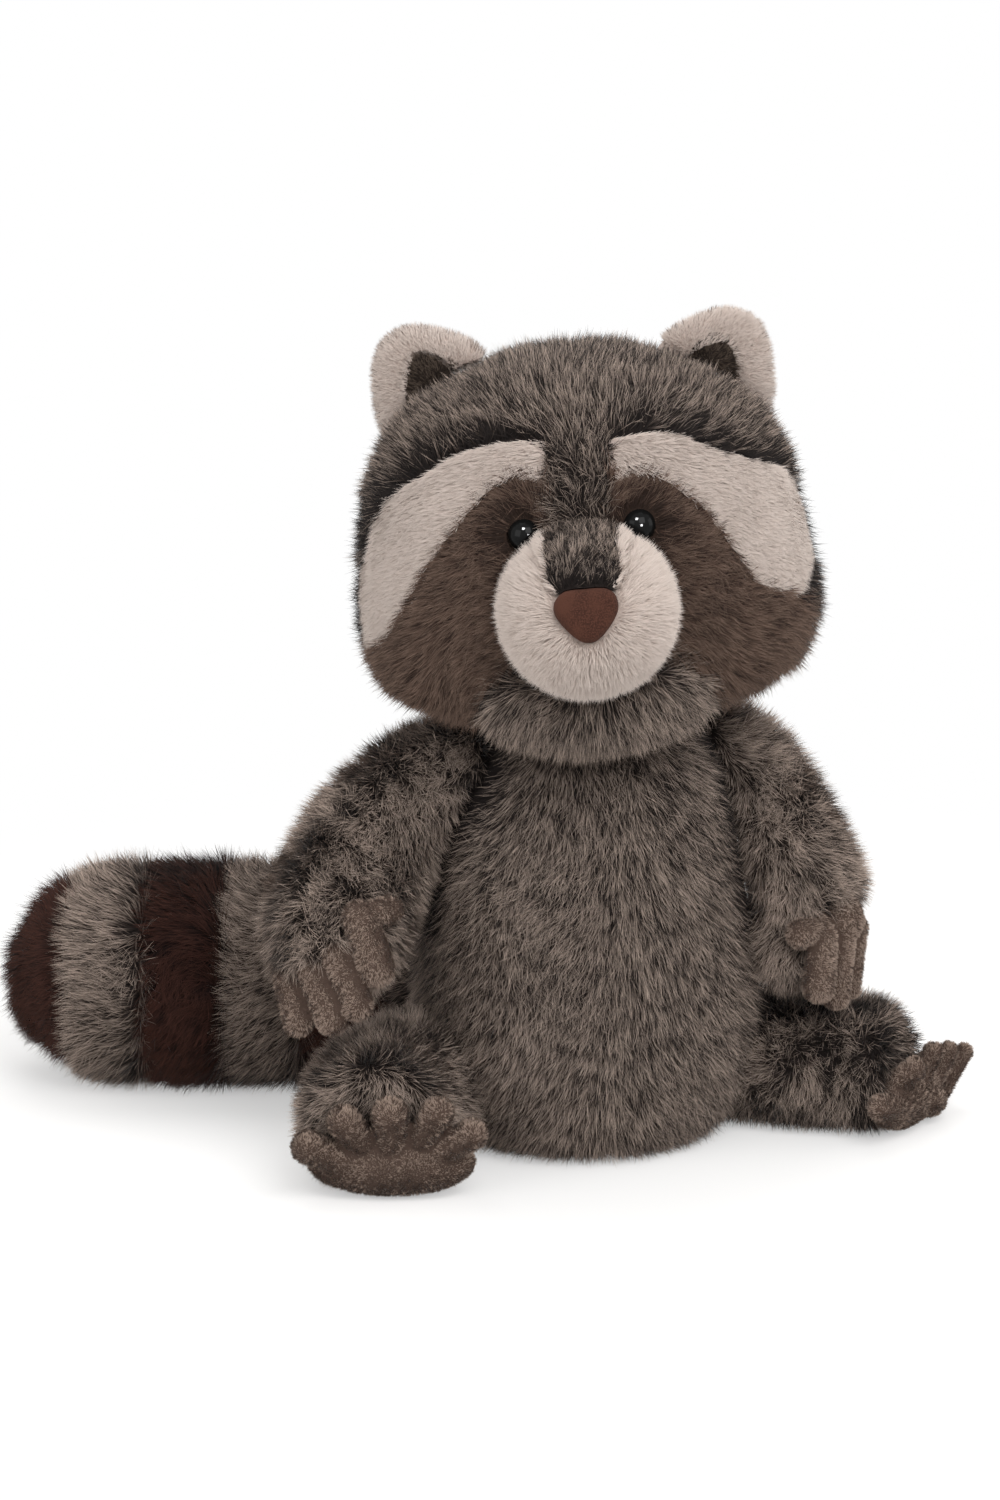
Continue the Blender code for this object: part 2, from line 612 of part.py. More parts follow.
def make_tail():
    """Six rings cut from one tube across its length, each seam square to the tube."""
    stations = smooth_curve(TAIL_PATH, 3)
    points = [Vector(station[:3]) for station in stations]
    lengths = [0.0]
    for near, far in zip(points, points[1:]):
        lengths.append(lengths[-1] + (far - near).length)

    def station_at(share):
        """The tube's station at a share of its length, and the way it runs there."""
        length = share * lengths[-1]
        span = max(k for k in range(len(lengths) - 1) if lengths[k] <= length)
        part = (length - lengths[span]) / (lengths[span + 1] - lengths[span])
        return stations[span].lerp(stations[span + 1], part), (points[span + 1] - points[span]).normalized()

    def slice_block(share_from, share_to):
        """A slab that holds the tube between two seams, each half a gap short."""
        rings = []
        for share, inward in ((share_from, 1), (share_to, -1)):
            station, way = station_at(min(max(share, 0), 1))
            reach = SEAM_GAP / 2 * inward if 0 < share < 1 else -TAIL_BLOCK_OVERRUN * inward
            centre = Vector(station[:3]) + way * reach
            side = way.cross(Vector((0, 0, 1))).normalized() * TAIL_BLOCK_REACH
            up = Vector((0, 0, TAIL_BLOCK_REACH))
            rings.append([centre - side - up, centre + side - up, centre + side + up, centre - side + up])
        return skin("slice", rings)

    seams = (0, *TAIL_SEAMS, 1)
    for name, share_from, share_to in zip(TAIL_NAMES, seams, seams[1:]):
        colour = "tail_brown_fur" if "brown" in name else "grey_fur"
        ring = tube(name, stations, TAIL_SIDES, bulges=(TAIL_ROOT_BULGE, TAIL_TIP_BULGE), finish_name=colour)
        combine(ring, slice_block(share_from, share_to), "INTERSECT")
        cut(ring, floor_block())
        if share_from == 0:
            cut(ring, torso_shape("torso_cut", SEAM_GAP), leg_shape("leg_cut", LEG_RIGHT, SEAM_GAP),
                leg_shape("leg_cut", LEG_LEFT, SEAM_GAP))


def make_torso():
    torso = torso_shape("torso", finish_name="grey_fur")
    cut(torso, head_shape("head_cut", SEAM_GAP), ruff_shape("ruff_cut", SEAM_GAP))


for leftover in list(bpy.data.objects):
    bpy.data.objects.remove(leftover)

HEAD_PLACE = bpy.data.objects.new("head_place", None)
bpy.context.scene.collection.objects.link(HEAD_PLACE)
HEAD_PLACE.matrix_world = (Matrix.Translation(HEAD_CENTRE) @ Matrix.Rotation(HEAD_TURN, 4, "Z")
                           @ Matrix.Rotation(HEAD_TIP, 4, "Y"))

make_torso()
make_head()
make_limbs()
make_tail()
for solid in bpy.data.objects:
    if solid.type == "MESH":
        solid.data.shade_smooth()
        solid.data.set_sharp_from_angle(angle=SHARP_ANGLE)
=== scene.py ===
# %% [markdown]
# A plush raccoon is a set of sewn cloth forms, filled with soft fibre and covered with pile: thousands of
# fine strands that stand in a knitted backing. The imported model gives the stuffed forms, one solid for each
# piece of cloth. This lesson dresses them: it fills the forms out as a filling would, lays the seams between
# them, and plants real strands on every one. The strands are thin triangles of mesh, because a mesh keeps its
# look in every renderer and in an exported file, where hair particles would be lost.

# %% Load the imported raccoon
import json
import math

import bmesh
import bpy
import numpy as np
from mathutils import Matrix, Vector
from mathutils.bvhtree import BVHTree
from mathutils.kdtree import KDTree


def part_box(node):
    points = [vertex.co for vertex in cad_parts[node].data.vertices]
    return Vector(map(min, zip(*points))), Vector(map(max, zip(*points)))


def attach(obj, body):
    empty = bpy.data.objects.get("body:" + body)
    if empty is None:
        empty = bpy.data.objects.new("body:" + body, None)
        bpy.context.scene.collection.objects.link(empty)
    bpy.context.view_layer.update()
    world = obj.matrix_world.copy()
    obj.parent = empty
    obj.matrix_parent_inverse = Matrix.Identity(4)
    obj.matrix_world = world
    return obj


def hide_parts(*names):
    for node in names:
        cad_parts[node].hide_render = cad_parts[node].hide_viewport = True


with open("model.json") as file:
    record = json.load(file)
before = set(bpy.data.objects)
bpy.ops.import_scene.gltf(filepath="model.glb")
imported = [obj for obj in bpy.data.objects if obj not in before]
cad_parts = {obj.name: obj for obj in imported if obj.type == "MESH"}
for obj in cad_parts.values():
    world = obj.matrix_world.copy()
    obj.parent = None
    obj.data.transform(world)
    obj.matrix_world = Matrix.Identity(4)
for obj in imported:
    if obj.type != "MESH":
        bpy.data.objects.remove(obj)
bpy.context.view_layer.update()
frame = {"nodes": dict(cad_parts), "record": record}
MM = 0.001
NODES = frame["nodes"]
SEED = 41

# %% [markdown]
# The camera stands where the photographer stood: a little above the toy, a long lens, and far enough away
# that the face isn't stretched. It could be pointed with a constraint, but a plain matrix built from the
# viewing angles keeps every value in sight.

# %% Camera
VIEW_AZIMUTH = math.radians(-23)
VIEW_ELEVATION = math.radians(15)
VIEW_DISTANCE = 1.4
VIEW_LENS = 101.8
SENSOR_HEIGHT = 36
AIM_RIGHT = -0.0281
AIM_UP = 0.1221

view_out = Vector((math.sin(VIEW_AZIMUTH) * math.cos(VIEW_ELEVATION),
                   -math.cos(VIEW_AZIMUTH) * math.cos(VIEW_ELEVATION), math.sin(VIEW_ELEVATION)))
view_right = Vector((math.cos(VIEW_AZIMUTH), math.sin(VIEW_AZIMUTH), 0))
view_up = view_out.cross(view_right)
aim = view_right * AIM_RIGHT + view_up * AIM_UP

camera_data = bpy.data.cameras.new("camera")
camera_data.lens = VIEW_LENS
camera_data.sensor_fit = "VERTICAL"
camera_data.sensor_height = SENSOR_HEIGHT
camera = bpy.data.objects.new("camera", camera_data)
bpy.context.scene.collection.objects.link(camera)
axes = Matrix((view_right, view_up, view_out)).transposed().to_4x4()
camera.matrix_world = Matrix.Translation(aim + view_out * VIEW_DISTANCE) @ axes
bpy.context.scene.camera = camera
bpy.context.scene.view_settings.view_transform = "Standard"
print("camera at", [round(v, 3) for v in camera.matrix_world.translation])

# %% [markdown]
# Product pictures of toys are lit by large soft boxes, so shadows have no hard edge. Each box here is an
# area lamp that looks at the toy. The key is high in front, and weaker ones fill in from both sides and from
# behind.

# %% Soft boxes
TOY_MIDDLE = Vector((0, 0, 0.13))


def soft_box(name, azimuth, elevation, distance, size, power, target=TOY_MIDDLE):
    """A square area lamp that looks at the toy from a given side."""
    a, e = math.radians(azimuth), math.radians(elevation)
    out = Vector((math.sin(a) * math.cos(e), -math.cos(a) * math.cos(e), math.sin(e)))
    data = bpy.data.lights.new(name, "AREA")
    data.size = size
    data.energy = power
    lamp = bpy.data.objects.new(name, data)
    bpy.context.scene.collection.objects.link(lamp)
    lamp.location = target + out * distance
    lamp.rotation_mode = "QUATERNION"
    lamp.rotation_quaternion = out.to_track_quat("Z", "Y")
    return lamp


soft_box("key_box", azimuth=0, elevation=40, distance=1.2, size=0.75, power=8)
soft_box("top_box", azimuth=175, elevation=70, distance=1.2, size=0.9, power=4)
soft_box("left_box", azimuth=-72, elevation=16, distance=1.4, size=0.9, power=5.2)
soft_box("right_box", azimuth=62, elevation=16, distance=1.5, size=0.9, power=3.5)

# %% [markdown]
# The rest of the light comes evenly from the room, which is the world in Blender. It lights the toy gently,
# but whatever looks straight at it, the camera, a glossy eye or clear plastic, has to see pure white. So the
# world mixes two backgrounds by the kind of ray that reaches it. The helpers that build the mix serve the
# floor and the finishes too.

# %% Room
ROOM_STRENGTH = 0.66
ROOM_COLOUR = (1.0, 0.99, 0.975, 1)


def feed(tree, socket, value):
    """Sets a node's input to a number or a colour, or links it to another node's output."""
    if isinstance(value, (int, float, tuple)):
        socket.default_value = value
    else:
        tree.links.new(value, socket)


def arithmetic(tree, operation, first, second):
    """A math node of two values, each a number or a socket."""
    node = tree.nodes.new("ShaderNodeMath")
    node.operation = operation
    feed(tree, node.inputs[0], first)
    feed(tree, node.inputs[1], second)
    return node.outputs["Value"]


def mix_shaders(tree, factor, first, second):
    node = tree.nodes.new("ShaderNodeMixShader")
    for socket, value in zip(node.inputs, (factor, first, second)):
        feed(tree, socket, value)
    return node.outputs["Shader"]


def seen_as(tree, light, looks):
    """One shader for the light it gives, and another for what the camera, gloss and glass see of it."""
    path = tree.nodes.new("ShaderNodeLightPath")
    seen = arithmetic(tree, "MAXIMUM", path.outputs["Is Camera Ray"], path.outputs["Is Glossy Ray"])
    seen = arithmetic(tree, "MAXIMUM", seen, path.outputs["Is Transmission Ray"])
    return mix_shaders(tree, seen, light, looks)


def background(tree, colour, strength):
    node = tree.nodes.new("ShaderNodeBackground")
    node.inputs["Color"].default_value = colour
    node.inputs["Strength"].default_value = strength
    return node.outputs["Background"]


world = bpy.data.worlds.new("room")
bpy.context.scene.world = world
world.use_nodes = True
room = world.node_tree
room.nodes.clear()
room_output = room.nodes.new("ShaderNodeOutputWorld")
room_shader = seen_as(room, background(room, ROOM_COLOUR, ROOM_STRENGTH), background(room, (1, 1, 1, 1), 1.0))
room.links.new(room_shader, room_output.inputs["Surface"])
print("room of strength", ROOM_STRENGTH, "from", len(room.nodes), "nodes")

# %% [markdown]
# The floor is a white table that fades into the white room. A plain white floor would go grey wherever the
# lamps fall off, so its material adds white of its own for what looks at it, keeps the toy's soft shadow
# near the toy, and turns fully white further out.

# %% Floor
FLOOR_REACH = 3.0
FLOOR_CORNERS = ((-1, -1), (1, -1), (1, 1), (-1, 1))
SHADOW_REACH = 0.42
SHADOW_FULL = 0.45
FLOOR_LIFT = 0.42

floor_mesh = bpy.data.meshes.new("floor")
floor_mesh.from_pydata([(x * FLOOR_REACH, y * FLOOR_REACH, 0) for x, y in FLOOR_CORNERS], [], [(0, 1, 2, 3)])
floor = bpy.data.objects.new("floor", floor_mesh)
bpy.context.scene.collection.objects.link(floor)

floor_material = bpy.data.materials.new("white_table")
floor_material.use_nodes = True
tree = floor_material.node_tree
tree.nodes.clear()
table_output = tree.nodes.new("ShaderNodeOutputMaterial")
table_paint = tree.nodes.new("ShaderNodeBsdfDiffuse")
table_paint.inputs["Color"].default_value = (0.62, 0.615, 0.61, 1)
table_lift = tree.nodes.new("ShaderNodeEmission")
table_lift.inputs["Strength"].default_value = FLOOR_LIFT
table_white = tree.nodes.new("ShaderNodeEmission")
table_sum = tree.nodes.new("ShaderNodeAddShader")
table_place = tree.nodes.new("ShaderNodeTexCoord")
table_length = tree.nodes.new("ShaderNodeVectorMath")
table_length.operation = "LENGTH"
table_fade = tree.nodes.new("ShaderNodeMapRange")
table_fade.interpolation_type = "SMOOTHSTEP"
table_fade.inputs["From Min"].default_value = SHADOW_REACH * SHADOW_FULL
table_fade.inputs["From Max"].default_value = SHADOW_REACH
tree.links.new(table_paint.outputs["BSDF"], table_sum.inputs[0])
tree.links.new(table_lift.outputs["Emission"], table_sum.inputs[1])
tree.links.new(table_place.outputs["Object"], table_length.inputs[0])
tree.links.new(table_length.outputs["Value"], table_fade.inputs["Value"])
table_looks = mix_shaders(tree, table_fade.outputs["Result"], table_sum.outputs["Shader"],
                          table_white.outputs["Emission"])
tree.links.new(seen_as(tree, table_paint.outputs["BSDF"], table_looks), table_output.inputs["Surface"])
floor_mesh.materials.append(floor_material)
print("shadow kept within", SHADOW_REACH, "m")

# %% [markdown]
# Every strand of pile changes colour along its length: the root is darker, partly in dye and partly as
# painted shade for the shade it sits in, and on heathered plush the tip is dyed paler than the middle.
# Strands also differ from each other, and neighbours that cling together share a tone. The mesh carries two
# numbers for this, how far along the strand a point is and the strand's tone, to which painted shade is
# added, and one node group turns them into colour. An image could do it too, but it would blur the strands.

# %% Pile colour, as a node group
DARK_EDGE = 0.08
BLACK = (0, 0, 0, 1)


def new_group(name, inputs, outputs):
    """A node group with its sockets: a float for a number, a colour for a tuple."""
    group = bpy.data.node_groups.new(name, "ShaderNodeTree")
    for side, sockets in (("INPUT", inputs), ("OUTPUT", outputs)):
        for socket_name, value in sockets:
            kind = "NodeSocketColor" if isinstance(value, tuple) else "NodeSocketFloat"
            socket = group.interface.new_socket(name=socket_name, in_out=side, socket_type=kind)
            socket.default_value = value
    return group, group.nodes.new("NodeGroupInput").outputs, group.nodes.new("NodeGroupOutput").inputs


def mix_colour(group, low, high, factor):
    """A colour mix node of a group."""
    node = group.nodes.new("ShaderNodeMix")
    node.data_type = "RGBA"
    for name, value in (("A", low), ("B", high), ("Factor", factor)):
        feed(group, node.inputs[name], value)
    return node.outputs["Result"]


def ramp(group, value, low, high):
    """A smooth rise from zero to one as a value passes between two limits."""
    node = group.nodes.new("ShaderNodeMapRange")
    node.interpolation_type = "SMOOTHSTEP"
    for name, limit in (("Value", value), ("From Min", low), ("From Max", high)):
        feed(group, node.inputs[name], limit)
    return node.outputs["Result"]


def strand_number(group, name):
    """One of the two numbers that every strand carries in its mesh."""
    node = group.nodes.new("ShaderNodeAttribute")
    node.attribute_name = name
    return node.outputs["Fac"]


pile_group, dye, pile_out = new_group(
    "pile_colour",
    (("Root", BLACK), ("Middle", BLACK), ("Tip", BLACK), ("Dark strand", BLACK), ("Dark share", 0.3),
     ("Root reach", 0.45), ("Tip start", 0.45), ("Variation", 0.25)),
    (("Colour", BLACK),))
along, tone_and_shade = strand_number(pile_group, "along"), strand_number(pile_group, "tone_and_shade")
strand_body = mix_colour(pile_group, dye["Middle"], dye["Tip"],
                         ramp(pile_group, along, dye["Tip start"], 1.0))
# The tone also holds painted shade, so painted shade makes strands dark here and dims them in the brightness
# below.
is_dark = ramp(pile_group, arithmetic(pile_group, "SUBTRACT", dye["Dark share"], tone_and_shade), -DARK_EDGE, DARK_EDGE)
strand_dyed = mix_colour(pile_group, strand_body, dye["Dark strand"], is_dark)
rooted = mix_colour(pile_group, dye["Root"], strand_dyed, ramp(pile_group, along, 0.0, dye["Root reach"]))
brightness = pile_group.nodes.new("ShaderNodeMapRange")
for name, value in (("Value", tone_and_shade), ("To Min", arithmetic(pile_group, "SUBTRACT", 1.0, dye["Variation"])),
                    ("To Max", arithmetic(pile_group, "ADD", 1.0, dye["Variation"]))):
    feed(pile_group, brightness.inputs[name], value)
shade = pile_group.nodes.new("ShaderNodeHueSaturation")
feed(pile_group, shade.inputs["Value"], brightness.outputs["Result"])
feed(pile_group, shade.inputs["Color"], rooted)
feed(pile_group, pile_out["Colour"], shade.outputs["Color"])
print("pile colour from", len(pile_group.nodes), "nodes")

# %% [markdown]
# Under the pile is the backing: a knitted cloth, seen only where strands part. Its group gives a fine knit,
# soft blotches of dye and a height for the bump, and the nose uses the same group with a finer, flatter
# grain, as suede is brushed cloth too.

# %% Cloth grain, as a node group
cloth_group, knit, cloth_out = new_group(
    "cloth_grain",
    (("Colour", BLACK), ("Shade", BLACK), ("Grain per metre", 1500.0), ("Blotch per metre", 90.0)),
    (("Colour", BLACK), ("Height", 0.0)))
cloth_place = cloth_group.nodes.new("ShaderNodeTexCoord")


def cloth_noise(rate, detail):
    node = cloth_group.nodes.new("ShaderNodeTexNoise")
    node.inputs["Detail"].default_value = detail
    cloth_group.links.new(cloth_place.outputs["Object"], node.inputs["Vector"])
    cloth_group.links.new(knit[rate], node.inputs["Scale"])
    return node.outputs["Fac"]


grain, blotch = cloth_noise("Grain per metre", 4), cloth_noise("Blotch per metre", 2)
grained = mix_colour(cloth_group, knit["Shade"], knit["Colour"], ramp(cloth_group, grain, 0.38, 0.64))
blotched = mix_colour(cloth_group, grained, knit["Colour"], ramp(cloth_group, blotch, 0.4, 0.65))
feed(cloth_group, cloth_out["Colour"], blotched)
feed(cloth_group, cloth_out["Height"], grain)
print("cloth grain from", len(cloth_group.nodes), "nodes")

# %% [markdown]
# Each finish is one material for the strands and one for the backing under them. The colours are linear
# values. The short beige pile is nearly even, and the long heathered one has many dark strands and pale tips.

# %% Materials
# The root colours are partly dye and partly painted shade, for the shade deep in the pile.
PILE_FINISHES = {
    "grey_fur": dict(
        root=(0.012, 0.0085, 0.0075), middle=(0.070, 0.052, 0.043), tip=(0.385, 0.305, 0.255),
        dark=(0.019, 0.0135, 0.012), dark_share=0.42, root_reach=0.5, tip_start=0.25, variation=0.45),
    "beige_plush": dict(
        root=(0.43, 0.35, 0.31), middle=(0.60, 0.505, 0.45), tip=(0.70, 0.61, 0.555),
        dark=(0.50, 0.415, 0.36), dark_share=0.02, root_reach=0.5, tip_start=0.3, variation=0.07),
    "mask_fur": dict(
        root=(0.024, 0.014, 0.010), middle=(0.078, 0.047, 0.035), tip=(0.185, 0.125, 0.095),
        dark=(0.040, 0.024, 0.018), dark_share=0.28, root_reach=0.5, tip_start=0.4, variation=0.3),
    "paw_plush": dict(
        root=(0.070, 0.046, 0.036), middle=(0.215, 0.155, 0.122), tip=(0.335, 0.257, 0.210),
        dark=(0.070, 0.046, 0.036), dark_share=0.12, root_reach=0.6, tip_start=0.35, variation=0.14),
    "tail_brown_fur": dict(
        root=(0.004, 0.0015, 0.001), middle=(0.018, 0.006, 0.004), tip=(0.056, 0.021, 0.014),
        dark=(0.008, 0.003, 0.002), dark_share=0.32, root_reach=0.5, tip_start=0.3, variation=0.35),
    "ear_lining_plush": dict(
        root=(0.018, 0.012, 0.009), middle=(0.062, 0.045, 0.034), tip=(0.130, 0.098, 0.077),
        dark=(0.026, 0.018, 0.014), dark_share=0.25, root_reach=0.5, tip_start=0.3, variation=0.25),
}
BACKING_PALER = 1.15


def new_material(name):
    """An empty material with its output and Principled shader."""
    material = bpy.data.materials.new(name)
    material.use_nodes = True
    return material, material.node_tree, material.node_tree.nodes["Principled BSDF"]


def pile_material(slot, finish):
    """Strands: the pile colour group into a rough, faintly sheened surface."""
    material, tree, shader = new_material(slot + "_strands")
    group = tree.nodes.new("ShaderNodeGroup")
    group.node_tree = pile_group
    for socket, key in (("Root", "root"), ("Middle", "middle"), ("Tip", "tip"), ("Dark strand", "dark")):
        group.inputs[socket].default_value = (*finish[key], 1)
    for socket, key in (("Dark share", "dark_share"), ("Root reach", "root_reach"),
                        ("Tip start", "tip_start"), ("Variation", "variation")):
        group.inputs[socket].default_value = finish[key]
    tree.links.new(group.outputs["Colour"], shader.inputs["Base Color"])
    shader.inputs["Roughness"].default_value = 0.72
    shader.inputs["Specular IOR Level"].default_value = 0.15
    shader.inputs["Sheen Weight"].default_value = 0.07
    shader.inputs["Sheen Roughness"].default_value = 0.4
    return material


def cloth_material(name, colour, shade, grain_rate=1500.0, height=0.0004, roughness=0.95):
    """Backing cloth or suede: the cloth grain group, with its height as bump."""
    material, tree, shader = new_material(name)
    group = tree.nodes.new("ShaderNodeGroup")
    group.node_tree = cloth_group
    group.inputs["Colour"].default_value = (*colour, 1)
    group.inputs["Shade"].default_value = (*shade, 1)
    group.inputs["Grain per metre"].default_value = grain_rate
    bump = tree.nodes.new("ShaderNodeBump")
    bump.inputs["Distance"].default_value = height
    tree.links.new(group.outputs["Colour"], shader.inputs["Base Color"])
    tree.links.new(group.outputs["Height"], bump.inputs["Height"])
    tree.links.new(bump.outputs["Normal"], shader.inputs["Normal"])
    shader.inputs["Roughness"].default_value = roughness
    shader.inputs["Specular IOR Level"].default_value = 0.2
    return material


STRANDS = {slot: pile_material(slot, finish) for slot, finish in PILE_FINISHES.items()}
BACKINGS = {}
# The backing takes each pile's root colour, which is partly painted shade, so the cloth between strands shows
# as dark as shade.
for slot, finish in PILE_FINISHES.items():
    paler = [channel * BACKING_PALER for channel in finish["root"]]
    BACKINGS[slot] = cloth_material(slot + "_backing", paler, finish["root"])
print("pile finishes", list(STRANDS))

# %% [markdown]
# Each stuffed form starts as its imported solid, which has few and uneven faces. A voxel remesh gives it an
# even net of small ones, as knitted cloth has, and a little smoothing rounds its corners. Subdivision would
# keep the uneven faces. The helpers here turn solids into such forms and read and write their points as whole
# arrays.

# %% Solids as even forms
def welded(nodes):
    """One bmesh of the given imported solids, with their split corners joined again."""
    form = bmesh.new()
    for node in nodes:
        form.from_mesh(NODES[node].data)
    bmesh.ops.remove_doubles(form, verts=form.verts, dist=0.00001)
    return form


def tree_of(nodes):
    """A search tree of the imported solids, for rays and nearest points."""
    form = welded(nodes)
    tree = BVHTree.FromBMesh(form)
    form.free()
    return tree


def new_piece(name, form):
    mesh = bpy.data.meshes.new(name)
    form.to_mesh(mesh)
    form.free()
    piece = bpy.data.objects.new(name, mesh)
    bpy.context.scene.collection.objects.link(piece)
    return piece


def apply_all(piece):
    """Replaces the piece's mesh with what its modifiers make of it."""
    bpy.context.view_layer.update()
    made = bpy.data.meshes.new_from_object(piece.evaluated_get(bpy.context.evaluated_depsgraph_get()))
    piece.modifiers.clear()
    piece.data = made
    made.name = piece.name
    return piece


def evened(name, form, step, smoothing):
    """Joins the shapes of a bmesh into one closed piece of even faces."""
    piece = new_piece(name, form)
    net = piece.modifiers.new("net", "REMESH")
    net.mode = "VOXEL"
    net.voxel_size = step
    soften = piece.modifiers.new("soften", "SMOOTH")
    soften.factor = 0.5
    soften.iterations = smoothing
    return apply_all(piece)


def remeshed(name, nodes, step, smoothing, end_ball=None):
    """One closed form of even faces round the given solids, and round a ball at an end where one is given."""
    form = welded(nodes)
    if end_ball:
        bmesh.ops.create_uvsphere(form, u_segments=24, v_segments=16, radius=end_ball[1] * MM,
                                  matrix=Matrix.Translation(Vector(end_ball[0]) * MM))
    return evened(name, form, step, smoothing)


def points_of(mesh):
    points = np.empty(len(mesh.vertices) * 3, np.float32)
    mesh.vertices.foreach_get("co", points)
    return points.reshape(-1, 3).astype(float)


def normals_of(mesh):
    normals = np.empty(len(mesh.vertices) * 3, np.float32)
    mesh.vertex_normals.foreach_get("vector", normals)
    return normals.reshape(-1, 3).astype(float)


def set_points(mesh, points):
    mesh.vertices.foreach_set("co", points.astype(np.float32).ravel())


print("packed torso points", len(points_of(NODES["torso"].data)))

# %% [markdown]
# Filling pushes the cloth out and the seams hold it in. A short cloth simulation with air pressure does the
# same: points at a seam are pinned, the rest swell, and how far a point may move is capped, so that the form
# keeps its packed size. The result is kept as a plain mesh and the simulation is removed.

# %% Filling a form
SEAM_REACH = 1.6 * MM
SWELL_LIMIT = 1.4 * MM
SWELL_FRAMES = 16
SHRINK_FIRST = 0.7 * MM
FILLING_PRESSURE = 4
CLOTH_QUALITY = 5
FLOOR_CLEARANCE = 0.3 * MM


def swell(piece, neighbours):
    """Fills the form by a short cloth simulation under pressure, with pinned seams and capped travel."""
    start = points_of(piece.data)
    set_points(piece.data, start - normals_of(piece.data) * SHRINK_FIRST)
    pins = piece.vertex_groups.new(name="seams")
    for index, point in enumerate(start):
        found = neighbours.find_nearest(Vector(point), SEAM_REACH)
        if found[0] is not None:
            pins.add([index], 1.0, "REPLACE")
    cloth = piece.modifiers.new("filling", "CLOTH")
    cloth.settings.use_pressure = True
    cloth.settings.uniform_pressure_force = FILLING_PRESSURE
    cloth.settings.effector_weights.gravity = 0
    cloth.settings.vertex_group_mass = "seams"
    cloth.settings.quality = CLOTH_QUALITY
    cloth.point_cache.frame_start = 1
    cloth.point_cache.frame_end = SWELL_FRAMES
    scene = bpy.context.scene
    for step in range(1, SWELL_FRAMES + 1):
        scene.frame_set(step)
    apply_all(piece)
    scene.frame_set(1)
    moved = points_of(piece.data)
    travel = moved - start
    length = np.linalg.norm(travel, axis=1, keepdims=True)
    moved = start + travel * np.minimum(1, SWELL_LIMIT / np.maximum(length, 1e-9))
    moved[:, 2] = np.maximum(moved[:, 2], np.minimum(start[:, 2], FLOOR_CLEARANCE))
    set_points(piece.data, moved)
    piece.data.update()
    return piece


print("a form may swell by", round(SWELL_LIMIT / MM, 1), "mm in", SWELL_FRAMES, "frames")

# %% [markdown]
# The body, the limbs, the ruff under the chin and the rings of the tail are filled loosely, so they swell.
# Behind each hand the arm ends in a round cuff, which is one more ball in the remesh, and the tail's end is
# drawn in a little, where the last ring is gathered.

# %% Stuffed forms
REMESH_STEP = 3.5 * MM
ALL_NAMES = sorted(NODES)
SLOT_OF = {row["node"]: row["material_slot"] for row in frame["record"]["subparts"]}


def others_of(*nodes):
    return tree_of([name for name in ALL_NAMES if name not in nodes])


def dress(piece, *nodes, fill=0.8):
    """Gives a stuffed piece the backing of its cloth and hides the imported solids that it stands for. Its
    fill is not used.
    """
    slot = SLOT_OF[nodes[0]]
    piece.data.materials.clear()
    piece.data.materials.append(BACKINGS[slot])
    piece.data.shade_smooth()
    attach(piece, "root")
    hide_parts(*nodes)
    return piece


SWOLLEN = ("torso", "arm_left", "arm_right", "leg_left", "leg_right", "chin_ruff", "tail_root_grey",
           "tail_ring_brown_inner", "tail_ring_grey_inner", "tail_ring_brown_outer", "tail_ring_grey_outer",
           "tail_tip_brown")
CUFFS = {"arm_right": ((-92.5, -10, 76), 18.5), "arm_left": ((59, -30, 67), 17),
         "leg_left": ((92.6, -33.6, 23.6), 9.5)}
TAIL_END_IN = 2.5 * MM
TAIL_END_LENGTH = 40 * MM


def middle_of(node):
    low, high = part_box(node)
    return np.array((low + high) / 2)


tail_way = middle_of("tail_tip_brown") - middle_of("tail_ring_brown_outer")
tail_way /= np.linalg.norm(tail_way)
SKINS = {}
for node in SWOLLEN:
    form = remeshed(node + "_skin", [node], REMESH_STEP, 3, CUFFS.get(node))
    swell(form, others_of(node))
    if node == "tail_tip_brown":
        points = points_of(form.data)
        out_along = np.clip((points - middle_of("tail_ring_grey_outer")) @ tail_way / TAIL_END_LENGTH, 0, 1)
        set_points(form.data, points - out_along[:, None] * tail_way * TAIL_END_IN)
    SKINS[node] = dress(form, node)
print("swollen forms", {node: len(SKINS[node].data.vertices) for node in SWOLLEN})

# %% [markdown]
# The head, the muzzle and the ears are firmly filled, so a fine remesh and a little smoothing are enough:
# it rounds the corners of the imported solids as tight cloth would.

# %% Firm forms
FIRM_FORMS = {"head": (2.5 * MM, 3), "muzzle": (1.8 * MM, 3), "ear_left": (1.1 * MM, 4),
              "ear_right": (1.1 * MM, 4)}
EAR_PULL_IN = 0.4 * MM
EAR_SHIFT = {"ear_left": (1.6, -1.8), "ear_right": (0.2, 0.8)}
CROWN_DIP = 3.0 * MM
CROWN_RISE = 55 * MM
for node, (step, smoothing) in FIRM_FORMS.items():
    form = remeshed(node + "_skin", [node], step, smoothing)
    points = points_of(form.data)
    if node in EAR_SHIFT:
        right, up = EAR_SHIFT[node]
        points -= normals_of(form.data) * EAR_PULL_IN
        points += np.array(view_right * right + view_up * up) * MM
    if node == "head":
        rise = np.clip((points[:, 2] - points[:, 2].mean()) / CROWN_RISE, 0, 1)
        points[:, 2] -= CROWN_DIP * rise ** 2
    set_points(form.data, points)
    SKINS[node] = dress(form, node, fill=1.0)
print("firm forms", {node: len(SKINS[node].data.vertices) for node in FIRM_FORMS})

# %% [markdown]
# Hands and feet are small bags with stubby digits. Each digit is a ball swept along a short line, and the
# palm or sole is a flattened ball; one fine remesh joins them, and so little smoothing follows that the
# creases between digits stay. Sculpting would give the same shapes, but not as sizes that can be changed.

# %% Balls and digits
PAW_STEP = 0.95 * MM
BALL_RINGS = 14
BALL_SIDES = 20
DIGIT_BALLS = 7
TO_VIEWER = np.array((view_right, view_up, view_out))


